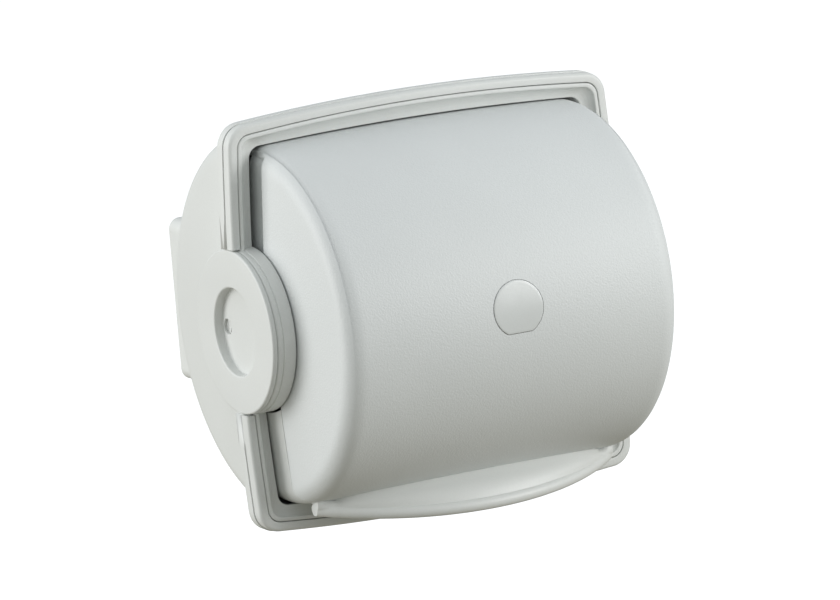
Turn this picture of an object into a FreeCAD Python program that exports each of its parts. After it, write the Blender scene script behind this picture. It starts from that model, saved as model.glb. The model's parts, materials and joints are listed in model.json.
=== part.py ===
"""Recessed splash-proof paper roll holder with a rotating front cover, as separate pieces.

Frame: +Z up, the front faces -Y, X runs along the cover's hinge axis. The origin is the centre of
the wall bracket's back face, which lies on the wall. Sizes are millimetres.
Every piece is drawn about the hinge axis and then placed, so local y = 0 is the hinge axis.
"""
import FreeCAD
import Part
import os
import math
import Sketcher

doc = FreeCAD.newDocument("paper_roll_holder")
Vector = FreeCAD.Vector
X_AXIS = Vector(1, 0, 0)
Y_AXIS = Vector(0, 1, 0)
Z_AXIS = Vector(0, 0, 1)

# ---------------------------------------------------------------- driving dimensions
DIMENSIONS = [
    ("wall_to_axis", 82.6),        # wall face to the hinge axis
    ("flange_back", 3.6),          # back of the flange behind the hinge axis
    ("flange_thick", 4.0),
    ("trim_thick", 4.6),
    ("trim_inset", 0.4),           # how far the trim stands back from the flange's edge
    ("trim_round", 1.5),
    ("flange_half_width", 80.2),   # at the corners, the sides bow out from here
    ("flange_half_height", 76.1),
    ("side_bow", 3.0),
    ("top_bow", 4.0),
    ("flange_corner", 9.0),
    ("seam_half_width", 76.5),     # seam between the trim and the inner frame
    ("seam_half_height", 72.4),
    ("seam_corner", 5.5),
    ("seam_gap", 0.25),
    ("land_width", 1.4),           # front land of the inner frame, outside its cove
    ("cove_depth", 2.9),
    ("opening_half_width", 70.3),   # follows the cover's tapered sides
    ("opening_half_height", 67.3),
    ("opening_side_bow", 2.8),
    ("opening_bow", 2.2),
    ("opening_corner", 5.0),
    ("tub_radius", 72.6),
    ("tub_wall", 2.0),
    ("tub_half_width", 75.4),
    ("tub_taper", 3.2),
    ("tub_round", 9.0),
    ("hub_radius", 30.8),
    ("ear_radius", 29.0),
    ("ear_outer", 79.9),
    ("cap_face", 82.0),
    ("cap_inner", 80.1),
    ("dish_radius", 16.5),
    ("dish_depth", 3.6),
    ("cup_wall", 2.0),
    ("cap_edge", 0.7),
    ("peg_offset", 12.7),
    ("peg_radius", 2.7),
    ("journal_radius", 8.5),
    ("journal_end", 64.0),
    ("socket_radius", 4.28),
    ("socket_depth", 8.0),
    ("groove_near", 2.0),          # the drag ring's groove, from the journal's end
    ("groove_far", 4.0),
    ("groove_depth", 1.2),
    ("ring_wire", 0.59),
    ("collar_radius", 31.0),
    ("collar_inner", 72.4),
    ("cover_edge_radius", 67.0),
    ("cover_crown", 2.0),
    ("cover_side", 71.9),
    ("cover_taper", 2.4),
    ("cover_round", 7.0),
    ("cover_wall", 2.2),
    ("side_edge", 9.3),            # rear edge of the cover's side, in front of the axis
    ("seam_plane", 12.4),          # where the cover meets the lower lip
    ("skirt_inset", 1.9),          # recessed side panels that close the gap beside the frame
    ("skirt_wall", 1.7),
    ("skirt_front", 12.0),
    ("skirt_back", 4.0),
    ("skirt_low", 26.0),
    ("lug_radius", 28.0),
    ("boss_radius", 13.0),
    ("boss_inner", 65.2),
    ("bush_wall", 1.2),
    ("badge_radius", 10.4),
    ("badge_sunk", 1.3),
    ("badge_chord", 9.1),          # flat foot of the badge, below its centre
    ("badge_height", 4.5),
    ("badge_proud", 0.35),
    ("lip_half_width", 63.5),
    ("bead_radius", 2.6),
    ("bead_end_y", 16.9),          # where the bead meets the lip's ends
    ("bead_end_z", 67.9),
    ("lip_reach", 24.5),           # how far the bead's middle stands out beyond its ends
    ("lip_lean", 9.6),             # degrees that the lip falls towards the front
    ("web_depth", 14.0),           # the sloping web behind the bead
    ("web_rise", 14.0),
    ("root_depth", 17.0),
    ("root_rise", 4.0),
    ("crease_end_y", 22.0),        # where the crease meets the cover's side, in front of the axis
    ("crease_end_z", -64.0),
    ("crease_slope", 0.307),
    ("seam_clearance", 0.3),
    ("strip_back", 12.0),          # rear edge of the fixed strip, behind the axis
    ("strip_top", 29.2),           # upper edge of the fixed strip's sides, below the axis
    ("cover_side_low", 28.0),      # lower edge of the cover's full side, below the axis
    ("cover_notch_x", 66.0),       # the cover's upper corners are notched outside this
    ("cover_notch_z", 50.0),
    ("lip_screw_x", 45.0),
    ("lip_screw_y", 7.0),
    ("lip_screw_seat", 65.0),      # underside of the lip screws' heads, below the axis
    ("lip_pad_foot", 68.0),
    ("lip_boss_foot", 71.2),
    ("lip_pad_radius", 4.0),
    ("bracket_half_width", 66.0),
    ("bracket_half_height", 31.5),
    ("bracket_round", 4.5),
    ("wall_hole_x", 90.0),
    ("wall_hole_z", 40.0),
    ("wall_hole_radius", 2.3),
    ("bracket_front", 50.0),
    ("bracket_screw_x", 25.0),
    ("bracket_screw_seat", 71.2),  # underside of the bracket screws' heads, behind the axis
    ("bracket_screw_long", 8.0),
    ("spindle_radius", 10.0),
    ("spindle_wall", 1.5),
    ("sleeve_end", 14.0),
    ("plunger_start", 22.0),
    ("plunger_bore", 6.9),
    ("plunger_wall", 50.0),
    ("sleeve_wall", 58.0),
    ("pin_radius", 4.2),
    ("pin_long", 5.0),
    ("screw_shank", 1.45),
    ("screw_head", 2.9),
    ("head_height", 1.8),
    ("cap_screw_pitch", 23.6),     # the cap screws' distance from the hinge axis
    ("cap_screw_seat", 74.9),
    ("cap_screw_long", 5.5),
    ("cap_boss_radius", 3.3),
    ("cap_boss_end", 76.6),
    ("screw_gap", 0.15),
    ("fit_gap", 0.2),
    ("hub_gap", 0.3),
    ("press_gap", 0.1),
    ("running_gap", 0.08),
    ("beyond", 90.0),              # further from the axis than any piece, for cutting tools
]
sheet = doc.addObject("Spreadsheet::Sheet", "Sizes")
for row, (alias, value) in enumerate(DIMENSIONS, start=1):
    sheet.set("A%d" % row, alias)
    sheet.set("B%d" % row, str(value))
    sheet.setAlias("B%d" % row, alias)
doc.recompute()
ALIASES = sorted((alias for alias, value in DIMENSIONS), key=len, reverse=True)


def linked(words):
    """Turn a sum written with the sheet's aliases into an expression FreeCAD can bind."""
    out = []
    token = ""
    for letter in words + " ":
        if letter.isalnum() or letter in "_.":
            token += letter
            continue
        out.append("Sizes." + token if token in ALIASES else token)
        out.append(letter)
        token = ""
    return "".join(out).strip()


def value(words):
    """The number that a sum of aliases stands for now."""
    result = sheet.evalExpression(linked(words))
    return float(getattr(result, "Value", result))


def bind(obj, **properties):
    """Bind properties to sums of aliases; double underscores stand for dots."""
    for name, words in properties.items():
        obj.setExpression(name.replace("__", "."), linked(str(words)))
    return obj


def named(kind, name):
    return doc.addObject(kind, name)


# ---------------------------------------------------------------- solids along X and Y
def rod_x(name, radius, start, length, y="0", z="0"):
    """A cylinder along X from start, its centre line at (y, z)."""
    rod = named("Part::Cylinder", name)
    rod.Placement = FreeCAD.Placement(Vector(0, 0, 0), FreeCAD.Rotation(Y_AXIS, 90))
    return bind(rod, Radius=radius, Height=length, Placement__Base__x=start,
                Placement__Base__y=y, Placement__Base__z=z)


def rod_y(name, radius, start, length, x="0", z="0"):
    """A cylinder along +Y from start."""
    rod = named("Part::Cylinder", name)
    rod.Placement = FreeCAD.Placement(Vector(0, 0, 0), FreeCAD.Rotation(X_AXIS, -90))
    return bind(rod, Radius=radius, Height=length, Placement__Base__y=start,
                Placement__Base__x=x, Placement__Base__z=z)


def rod_z(name, radius, start, length, x="0", y="0"):
    """A cylinder along +Z from start."""
    rod = named("Part::Cylinder", name)
    return bind(rod, Radius=radius, Height=length, Placement__Base__z=start,
                Placement__Base__x=x, Placement__Base__y=y)


def block(name, x, y, z, length, width, height):
    """A box whose lowest corner is (x, y, z)."""
    box = named("Part::Box", name)
    return bind(box, Placement__Base__x=x, Placement__Base__y=y, Placement__Base__z=z,
                Length=length, Width=width, Height=height)


def fuse(name, *pieces):
    joined = named("Part::MultiFuse", name)
    joined.Shapes = list(pieces)
    joined.Refine = True
    return joined


def cut(name, base, *tools):
    result = named("Part::Cut", name)
    result.Base = base
    result.Tool = tools[0] if len(tools) == 1 else fuse(name + "_tools", *tools)
    result.Refine = True
    return result


def common(name, *pieces):
    result = named("Part::MultiCommon", name)
    result.Shapes = list(pieces)
    return result


def rounded(name, base, radius, chosen):
    """Fillet the edges of a piece that chosen(edge) picks, all with one radius."""
    doc.recompute()
    size = value(radius)
    picked = [(i, size, size) for i, edge in enumerate(base.Shape.Edges, start=1) if chosen(edge)]
    if not picked:
        raise RuntimeError("no edge was picked on " + name)
    fillet = named("Part::Fillet", name)
    fillet.Base = base
    fillet.Edges = picked
    return fillet


# ---------------------------------------------------------------- profiles
def profile(name, corners, plane, owner):
    """A closed sketch in a body. A corner is (across, up) or (across, up, bow): bow is how far the side
    that starts there swells to the right of its direction. plane XZ stands upright and faces -Y,
    YZ stands upright and faces +X."""
    sketch = owner.newObject("Sketcher::SketchObject", name)
    role = plane + "_Plane"
    origin_plane = [f for f in owner.Origin.OriginFeatures if f.Role == role][0]
    sketch.AttachmentSupport = (origin_plane, [""])
    sketch.MapMode = "FlatFace"
    points = [Vector(value(c[0]), value(c[1]), 0) for c in corners]
    ends = []
    for i, corner in enumerate(corners):
        start, stop = points[i], points[(i + 1) % len(points)]
        if len(corner) == 3:
            along = (stop - start).normalize()
            swell = Vector(along.y, -along.x, 0) * value(corner[2])
            arc = Part.Arc(start, (start + stop) * 0.5 + swell, stop)
            sketch.addGeometry(arc, False)
            forward = sketch.Geometry[i].StartPoint.distanceToPoint(start) < 1e-6
            ends.append((1, 2) if forward else (2, 1))
        else:
            sketch.addGeometry(Part.LineSegment(start, stop), False)
            ends.append((1, 2))
    for i in range(len(corners)):
        after = (i + 1) % len(corners)
        sketch.addConstraint(Sketcher.Constraint("Coincident", i, ends[i][1], after, ends[after][0]))
    for i, corner in enumerate(corners):
        across = sketch.addConstraint(
            Sketcher.Constraint("DistanceX", -1, 1, i, ends[i][0], points[i].x))
        sketch.setExpression("Constraints[%d]" % across, linked(corner[0]))
        up = sketch.addConstraint(
            Sketcher.Constraint("DistanceY", -1, 1, i, ends[i][0], points[i].y))
        sketch.setExpression("Constraints[%d]" % up, linked(corner[1]))
    for i, corner in enumerate(corners):
        if len(corner) == 3:
            after = corners[(i + 1) % len(corners)]
            chord_squared = "((%s)-(%s))^2+((%s)-(%s))^2" % (after[0], corner[0], after[1], corner[1])
            words = "(%s)/(8*(%s))+(%s)/2" % (chord_squared, corner[2], corner[2])
            radius = sketch.addConstraint(Sketcher.Constraint("Radius", i, value(words)))
            sketch.setExpression("Constraints[%d]" % radius, linked(words))
    return sketch


def turned(name, corners, angle=360):
    """A solid turned about X from corners given as (x, radius)."""
    body = named("PartDesign::Body", name)
    sketch = profile(name + "_profile", corners, "XY", body)
    turn = body.newObject("PartDesign::Revolution", name + "_turn")
    turn.Profile = sketch
    turn.ReferenceAxis = (sketch, ["H_Axis"])
    turn.Angle = angle
    turn.Midplane = True
    body.Tip = turn
    return body


def pillow(name, half_width, half_height, side, top, corner, front, depth):
    """A plate with four bowed sides and rounded corners, from y = front back by depth."""
    body = named("PartDesign::Body", name)
    wide, high = "(%s)" % half_width, "(%s)" % half_height
    outline = [("-" + wide, "-" + high, top), (wide, "-" + high, side),
               (wide, high, top), ("-" + wide, high, side)]
    sketch = profile(name + "_outline", outline, "XZ", body)
    pad = body.newObject("PartDesign::Pad", name + "_pad")
    pad.Profile = sketch
    pad.Reversed = True
    bind(pad, Length=depth)
    doc.recompute()
    corners = ["Edge%d" % i for i, edge in enumerate(pad.Shape.Edges, start=1)
               if isinstance(edge.Curve, Part.Line)
               and abs(edge.tangentAt(edge.FirstParameter).y) > 0.99]
    fillet = body.newObject("PartDesign::Fillet", name + "_corners")
    fillet.Base = (pad, corners)
    bind(fillet, Radius=corner)
    body.Tip = fillet
    return bind(body, Placement__Base__y=front)


FLANGE_FRONT = "flange_back-flange_thick"
TRIM_FRONT = "flange_back-flange_thick-trim_thick"
pieces = {}


def finish(label, obj):
    """Name the finished piece and move it from the hinge axis to its place before the wall."""
    obj.Label = label
    bind(obj, Placement__Base__y="-wall_to_axis")
    pieces[label] = obj


# ---------------------------------------------------------------- drum outline shared by cover and lip
def drum(name, inset):
    """The closed barrel that the cover and the lower lip are cut from, inset from its skin."""
    side, edge = "(cover_side-%s)" % inset, "(cover_edge_radius-%s)" % inset
    far = "(cover_side-cover_taper-%s)" % inset
    shape = turned(name, [("-" + side, "0"), (side, "0"), (side, "collar_radius"),
                          (far, edge, "cover_crown"), ("-" + far, edge), ("-" + side, "collar_radius")])
    size = "cover_round-%s" % inset
    half = value(far)

    def rim(edge_shape):
        curve = edge_shape.Curve
        return isinstance(curve, Part.Circle) and abs(abs(curve.Center.x) - half) < 0.01 \
            and abs(curve.Radius - value(edge)) < 0.01
    return rounded(name + "_rounded", shape, size, rim)


def drum_shell(name):
    return cut(name, drum(name + "_skin", "0"), drum(name + "_core", "cover_wall"))


def below_crease(name, lift):
    """Everything under the crease, which divides the drum between cover and lip: a plane that
    falls from the front to the lip's ends and then rises behind them."""
    corners = [("-beyond", "-beyond"), ("strip_back", "-beyond"), ("strip_back", "crease_end_z+4"),
               ("-crease_end_y", "crease_end_z"),
               ("-beyond", "crease_end_z+(beyond-crease_end_y)*crease_slope")]
    wedge = named("PartDesign::Body", name)
    pad = wedge.newObject("PartDesign::Pad", name + "_pad")
    pad.Profile = profile(name + "_side", corners, "YZ", wedge)
    pad.Midplane = True
    bind(pad, Length="2*beyond")
    wedge.Tip = pad
    return bind(wedge, Placement__Base__z=lift)


# ---------------------------------------------------------------- housing
def rear_housing():
    taper_end = "(tub_half_width-tub_taper)"
    outer = turned("tub_outer", [
        ("-tub_half_width", "0"), ("tub_half_width", "0"), ("tub_half_width", "collar_radius"),
        (taper_end, "tub_radius"), ("-" + taper_end, "tub_radius"),
        ("-tub_half_width", "collar_radius")], 180)

    def back_rim(edge):
        curve = edge.Curve
        return isinstance(curve, Part.Circle) and abs(curve.Radius - value("tub_radius")) < 0.01
    outer = rounded("tub_outer_rounded", outer, "tub_round", back_rim)
    flange = pillow("flange", "flange_half_width", "flange_half_height", "side_bow", "top_bow",
                    "flange_corner", FLANGE_FRONT, "flange_thick")
    ears = rod_x("ears", "ear_radius", "-ear_outer", "2*ear_outer")
    solid = fuse("housing_solid", outer, flange, ears)

    inner_side, inner_radius = "(tub_half_width-tub_wall)", "(tub_radius-tub_wall)"
    inner_far = "(tub_half_width-tub_taper-tub_wall)"
    hollow = turned("tub_inner", [
        ("-" + inner_side, "0"), (inner_side, "0"), (inner_side, "collar_radius"),
        (inner_far, inner_radius), ("-" + inner_far, inner_radius),
        ("-" + inner_side, "collar_radius")])

    def inside_rim(edge):
        curve = edge.Curve
        return isinstance(curve, Part.Circle) and abs(curve.Radius - value(inner_radius)) < 0.01
    hollow = rounded("tub_inner_rounded", hollow, "tub_round-tub_wall", inside_rim)
    cup_end = "(cap_face-dish_depth-cup_wall-fit_gap)"
    cup_radius = "dish_radius+cup_wall+fit_gap"
    tools = [hollow,
             rod_x("notch_left", "hub_radius+hub_gap", "-beyond", "beyond-ear_outer"),
             rod_x("notch_right", "hub_radius+hub_gap", "ear_outer", "beyond-ear_outer"),
             rod_x("cup_left", cup_radius, "-beyond", "beyond-" + cup_end),
             rod_x("cup_right", cup_radius, cup_end, "beyond-" + cup_end),
             rod_x("journal_bore", "journal_radius+press_gap", "-beyond", "2*beyond")]
    for name, y, z in cap_screw_places():
        head_end = "cap_screw_seat+press_gap"
        boss_end = "cap_boss_end-fit_gap"
        tools += [
            rod_x("cap_screw_hole_" + name, "screw_shank+screw_gap", "-beyond", "2*beyond", y, z),
            rod_x("cap_head_seat_" + name, "screw_head+fit_gap", "-" + head_end.replace("+", "-"),
                  "2*(" + head_end + ")", y, z),
            rod_x("cap_boss_left_" + name, "cap_boss_radius+hub_gap", "-beyond",
                  "beyond-(" + boss_end + ")", y, z),
            rod_x("cap_boss_right_" + name, "cap_boss_radius+hub_gap", boss_end,
                  "beyond-(" + boss_end + ")", y, z)]
    for name, x, z in wall_hole_places():
        tools.append(rod_y("wall_hole_tub_" + name, "wall_hole_radius+0.5", "20", "80", x, z))
    for name, x, z in bracket_screw_places():
        tools.append(rod_y("bracket_hole_tub_" + name, "screw_shank+screw_gap", "20", "80", x, z))
        tools.append(rod_y("bracket_head_seat_" + name, "screw_head+fit_gap", "20",
                           "bracket_screw_seat+press_gap-20", x, z))
    body = cut("housing_bored", solid, *tools)
    floor = [rod_z("lip_boss_" + name, "lip_pad_radius", "-lip_boss_foot",
                   "lip_boss_foot-lip_pad_foot-fit_gap", x, "lip_screw_y")
             for name, x in lip_screw_places()]
    pegs = [rod_x("peg_left", "peg_radius", "-77.4", "2.4", "peg_offset"),
            rod_x("peg_right", "peg_radius", "75.0", "2.4", "peg_offset")]
    joined = fuse("housing_joined", body, *(floor + pegs))
    holes = [rod_z("lip_pilot_" + name, "screw_shank", "-lip_boss_foot", "10", x, "lip_screw_y")
             for name, x in lip_screw_places()]
    finish("rear_housing", cut("rear_housing", joined, *holes))


def cap_screw_places():
    """Three cap screws round each hub, clear of the dish."""
    places = []
    for i in range(3):
        angle = math.radians(90 + 120 * i)
        along, up = math.cos(angle), math.sin(angle)
        places.append((str(i), "cap_screw_pitch*%.6f" % along, "cap_screw_pitch*%.6f" % up))
    return places


def wall_hole_places():
    """Four bolt holes on a rectangle, named by their corner."""
    x, z = "wall_hole_x/2", "wall_hole_z/2"
    return [("low_left", "-" + x, "-" + z), ("high_left", "-" + x, z),
            ("low_right", x, "-" + z), ("high_right", x, z)]


def bracket_screw_places():
    return [("left", "-bracket_screw_x", "0"), ("right", "bracket_screw_x", "0")]


def lip_screw_places():
    return [("left", "-lip_screw_x"), ("right", "lip_screw_x")]


# ---------------------------------------------------------------- front frame and trim
def inner_frame():
    plate = pillow("frame_plate", "seam_half_width-seam_gap", "seam_half_height-seam_gap", "side_bow",
                   "top_bow", "seam_corner", TRIM_FRONT, "trim_thick-press_gap")
    cove = pillow("frame_cove", "seam_half_width-land_width", "seam_half_height-land_width", "side_bow",
                  "top_bow", "4.5", TRIM_FRONT + "-1", "cove_depth+1")
    opening = pillow("frame_opening", "opening_half_width", "opening_half_height", "opening_side_bow",
                     "opening_bow", "opening_corner", TRIM_FRONT + "-2", "trim_thick+4")
    stepped = cut("frame_stepped", plate, cove, opening)
    collars = []
    for side, start in (("left", "-ear_outer"), ("right", "collar_inner")):
        collars.append(rod_x("collar_" + side, "collar_radius", start, "ear_outer-collar_inner"))
    behind = block("collar_behind", "-beyond", FLANGE_FRONT + "-press_gap", "-40", "2*beyond", "60", "80")
    rings = cut("collar_front", fuse("collar_pair", *collars), behind)
    whole = fuse("frame_whole", stepped, rings)
    ears = rod_x("ear_clearance", "ear_radius+fit_gap", "-beyond", "2*beyond")
    finish("inner_frame", cut("inner_frame", whole, ears))


def trim(label, above):
    """One half of the snap-on trim: the bar and two legs down to the hubs."""
    ring = pillow(label + "_plate", "flange_half_width-trim_inset", "flange_half_height-trim_inset",
                  "side_bow", "top_bow", "flange_corner-trim_inset", TRIM_FRONT, "trim_thick-press_gap/2")
    front = TRIM_FRONT

    def front_edge(edge):
        return all(abs(v.Point.y - value(front)) < 0.01 for v in edge.Vertexes)
    ring = rounded(label + "_soft", ring, "trim_round", front_edge)
    hole = pillow(label + "_hole", "seam_half_width", "seam_half_height", "side_bow", "top_bow",
                  "seam_corner", TRIM_FRONT + "-1", "trim_thick+2")
    hubs = rod_x(label + "_hubs", "hub_radius+hub_gap", "-beyond", "2*beyond")
    start = "-beyond" if above else "0"
    other = block(label + "_other", "-beyond", "-20", start, "2*beyond", "40", "beyond")
    finish(label, cut(label, ring, hole, hubs, other))


# ---------------------------------------------------------------- cover and lower lip
def cover_shell():
    shell = drum_shell("cover_drum")
    lower = below_crease("cover_lower", "seam_clearance")
    cuts = [lower,
            block("cover_low_back", "-beyond", "-seam_plane-seam_clearance/2", "-beyond",
                  "2*beyond", "110", "beyond-cover_side_low"),
            block("cover_mid_back", "-beyond", "-side_edge", "-30", "2*beyond", "110", "84"),
            block("cover_back", "-beyond", "12", "-beyond", "2*beyond", "beyond", "2*beyond"),
            block("cover_top_left", "-beyond", "-side_edge", "cover_notch_z",
                  "beyond-cover_notch_x", "90", "60"),
            block("cover_top_right", "cover_notch_x", "-side_edge", "cover_notch_z", "24", "90", "60")]
    front = cut("cover_front", shell, *cuts)
    lugs = []
    for side, plate, boss in (("left", "-cover_side", "-cover_side"),
                              ("right", "cover_side-cover_wall", "boss_inner")):
        lugs.append(rod_x("lug_" + side, "lug_radius", plate, "cover_wall"))
        lugs.append(rod_x("boss_" + side, "boss_radius", boss, "cover_side-boss_inner"))
    whole = fuse("cover_whole", front, *lugs, *side_skirts())
    bore = rod_x("cover_bore", "journal_radius+bush_wall", "-beyond", "2*beyond")
    seat = badge_plug("badge_seat", "badge_radius+screw_gap", "badge_sunk+0.05", "3.0")
    finish("cover_shell", cut("cover_shell", whole, bore, seat))


def side_skirts():
    """Panels set in behind the cover's side edges, which run on past the frame's opening."""
    panels = []
    for side, start in (("left", "-beyond"), ("right", "60")):
        shell = cut("skirt_shell_" + side, drum("skirt_skin_" + side, "skirt_inset"),
                    drum("skirt_core_" + side, "(skirt_inset+skirt_wall)"))
        space = block("skirt_space_" + side, start, "-skirt_front", "skirt_low", "beyond-60",
                      "skirt_front+skirt_back", "60")
        panels.append(common("skirt_" + side, shell, space))
    return panels


def badge_plug(name, radius, below, above):
    """A round plug between two barrels: below is how deep it is set, above how proud it stands."""
    rod = rod_y(name + "_rod", radius, "-80", "40", "0", "badge_height")
    high = drum(name + "_high", "(0-%s)" % above)
    low = drum(name + "_low", "(%s)" % below)
    return cut(name, common(name + "_disc", rod, high), low)


def badge_disc():
    """A plain round badge with a flat chord at its foot, seated in the cover."""
    plug = badge_plug("badge_plug", "badge_radius", "badge_sunk", "badge_proud")
    chord = block("badge_chord", "-20", "-beyond", "badge_height-badge_chord-10", "40", "60", "10")
    finish("badge_disc", cut("badge_disc", plug, chord))


def lip_crescent():
    """The crescent that the lip stands out by: a rounded bead on a sloping web, turned about an
    axis behind the holder that leans back with the bead."""
    arc = "((lip_half_width^2+lip_reach^2)/(2*lip_reach))"
    body = named("PartDesign::Body", "crescent")
    corners = [(arc + "-0.9", "-bead_radius+0.15", "bead_radius"), (arc + "-0.6", "bead_radius-0.1"),
               (arc + "-web_depth", "web_rise"), (arc + "-root_depth", "root_rise")]
    sketch = profile("crescent_profile", corners, "XZ", body)
    turn = body.newObject("PartDesign::Revolution", "crescent_turn")
    turn.Profile = sketch
    turn.ReferenceAxis = (sketch, ["V_Axis"])
    turn.Angle = 100
    turn.Midplane = True
    body.Tip = turn
    lean = value("lip_lean")
    away = value(arc) - value("lip_reach")
    back, rise = away * math.cos(math.radians(lean)), away * math.sin(math.radians(lean))
    facing = FreeCAD.Rotation(X_AXIS, lean).multiply(FreeCAD.Rotation(Z_AXIS, -90))
    body.Placement = FreeCAD.Placement(
        Vector(0, -value("bead_end_y") + back, -value("bead_end_z") + rise), facing)
    between = block("crescent_ends", "-lip_half_width", "-beyond", "-beyond",
                    "2*lip_half_width", "140", "60")
    low = below_crease("crescent_lower", "0")
    kept = common("crescent_kept", body, between, low)
    return cut("crescent_hollowed", kept, drum("crescent_core", "0.6*cover_wall"))


def lower_lip():
    shell = drum_shell("lip_drum")
    low = below_crease("lip_lower", "0")
    sides = block("lip_sides", "-beyond", "-seam_plane+seam_clearance/2", "-beyond", "2*beyond",
                  "seam_plane-seam_clearance/2+strip_back", "beyond-strip_top")
    rim = common("lip_rim", shell, fuse("lip_region", low, sides))
    whole = fuse("lip_whole", rim, lip_crescent())
    holes, seats, pads = [], [], []
    for name, x in lip_screw_places():
        holes.append(rod_z("lip_hole_" + name, "screw_shank+screw_gap", "-beyond", "60", x, "lip_screw_y"))
        seats.append(rod_z("lip_seat_" + name, "lip_pad_radius+fit_gap", "-lip_pad_foot-press_gap", "1.1",
                           x, "lip_screw_y"))
        pads.append(rod_z("lip_pad_" + name, "lip_pad_radius", "-lip_pad_foot",
                          "lip_pad_foot-lip_screw_seat", x, "lip_screw_y"))
    body = fuse("lip_padded", cut("lip_cleared", whole, *seats), *pads)
    finish("lower_lip", cut("lower_lip", body, *holes))


# ---------------------------------------------------------------- hubs
def hub_cap(side):
    """The round cap of one hub: dished face, hollow journal and spindle socket, in one moulding."""
    floor = "(cap_face-dish_depth)"
    cup = "(cap_face-dish_depth-cup_wall)"
    corners = [(floor, "0"), (floor, "dish_radius"), ("cap_face", "dish_radius"), ("cap_face", "hub_radius"),
               ("cap_inner", "hub_radius"), ("cap_inner", "dish_radius+cup_wall"),
               (cup, "dish_radius+cup_wall"), (cup, "journal_radius"),
               ("journal_end+groove_far", "journal_radius"),
               ("journal_end+groove_far", "journal_radius-groove_depth"),
               ("journal_end+groove_near", "journal_radius-groove_depth"),
               ("journal_end+groove_near", "journal_radius"), ("journal_end", "journal_radius"),
               ("journal_end", "socket_radius"), ("journal_end+socket_depth", "socket_radius"),
               ("journal_end+socket_depth", "0")]
    cap = turned(side + "_cap_blank", corners)
    doc.recompute()

    def rim(edge):
        curve = edge.Curve
        near = isinstance(curve, Part.Circle) and abs(curve.Center.x - value("cap_face")) < 0.01
        return near and curve.Radius > value("dish_radius") - 0.1
    soft = rounded(side + "_cap_soft", cap, "cap_edge", rim)
    bosses, pilots = [], []
    for name, y, z in cap_screw_places():
        bosses.append(rod_x(side + "_boss_" + name, "cap_boss_radius", "cap_boss_end",
                            "cap_inner+0.5-cap_boss_end", y, z))
        pilots.append(rod_x(side + "_pilot_" + name, "screw_shank", "cap_boss_end-0.6", "4.6", y, z))
    whole = fuse(side + "_cap_bossed", soft, *bosses)
    peg_hole = rod_x(side + "_peg_hole", "peg_radius+fit_gap", "cap_face-12", "14", "peg_offset")
    done = cut(side + "_cap", whole, peg_hole, *pilots)
    label = side + "_hub_cap"
    if side == "left":
        mirrored = named("Part::Mirroring", "left_cap_mirrored")
        mirrored.Source = done
        mirrored.Normal = X_AXIS
        done = mirrored
    finish(label, done)


def drag_ring(side, sign):
    """The drag ring in the journal's groove, which holds the cover where it is left."""
    ring = named("Part::Torus", side + "_ring")
    ring.Placement = FreeCAD.Placement(Vector(0, 0, 0), FreeCAD.Rotation(Y_AXIS, 90))
    middle = "%s(journal_end+(groove_near+groove_far)/2)" % sign
    bind(ring, Radius1="journal_radius-ring_wire", Radius2="ring_wire", Placement__Base__x=middle)
    finish(side + "_drag_ring", ring)


def pivot_bush(side, start):
    """A thin acetal sleeve pressed in the cover, which turns on the journal."""
    outer = rod_x(side + "_bush_outer", "journal_radius+bush_wall", start, "cover_side-boss_inner")
    inner = rod_x(side + "_bush_inner", "journal_radius+running_gap", "-beyond", "2*beyond")
    finish(side + "_pivot_bush", cut(side + "_bush", outer, inner))


def screw_group(label, places, make):
    """Identical screws as separate solids in one node."""
    group = named("Part::Compound", label)
    group.Links = [make(label + "_" + str(i), place) for i, place in enumerate(places)]
    finish(label, group)


def cap_screws(side):
    def make(name, place):
        y, z = place[1], place[2]
        left = side == "left"
        head_start = "-cap_screw_seat" if left else "cap_screw_seat-head_height"
        shank_start = "-cap_screw_seat-cap_screw_long" if left else "cap_screw_seat"
        head = rod_x(name + "_head", "screw_head", head_start, "head_height", y, z)
        shank = rod_x(name + "_shank", "screw_shank", shank_start, "cap_screw_long", y, z)
        return fuse(name, head, shank)
    screw_group(side + "_cap_screws", cap_screw_places(), make)


# ---------------------------------------------------------------- wall bracket
def wall_bracket():
    slab = block("bracket_slab", "-bracket_half_width", "bracket_front", "-bracket_half_height",
                 "2*bracket_half_width", "wall_to_axis-bracket_front", "2*bracket_half_height")
    doc.recompute()

    def corner_edge(edge):
        return abs(edge.tangentAt(edge.FirstParameter).y) > 0.99
    soft = rounded("bracket_soft", slab, "bracket_round", corner_edge)
    tools = [turned("bracket_saddle", [("-beyond", "0"), ("beyond", "0"), ("beyond", "tub_radius+press_gap"),
                                       ("-beyond", "tub_radius+press_gap")])]
    for name, x, z in wall_hole_places():
        tools.append(rod_y("wall_hole_" + name, "wall_hole_radius", "20", "80", x, z))
    for name, x, z in bracket_screw_places():
        tools.append(rod_y("bracket_pilot_" + name, "screw_shank", "20", "60", x, z))
    finish("wall_bracket", cut("wall_bracket", soft, *tools))


def bracket_screws():
    def make(name, place):
        x, z = place[1], place[2]
        seat = "bracket_screw_seat"
        head = rod_y(name + "_head", "screw_head", seat + "-head_height", "head_height", x, z)
        shank = rod_y(name + "_shank", "screw_shank", seat, "bracket_screw_long", x, z)
        return fuse(name, head, shank)
    screw_group("bracket_screws", bracket_screw_places(), make)


def lip_screws():
    def make(name, place):
        x = place[1]
        head = rod_z(name + "_head", "screw_head", "-lip_screw_seat", "head_height", x, "lip_screw_y")
        shank = rod_z(name + "_shank", "screw_shank", "-lip_screw_seat-5.6", "5.6", x, "lip_screw_y")
        return fuse(name, head, shank)
    screw_group("lip_screws", lip_screw_places(), make)


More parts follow.
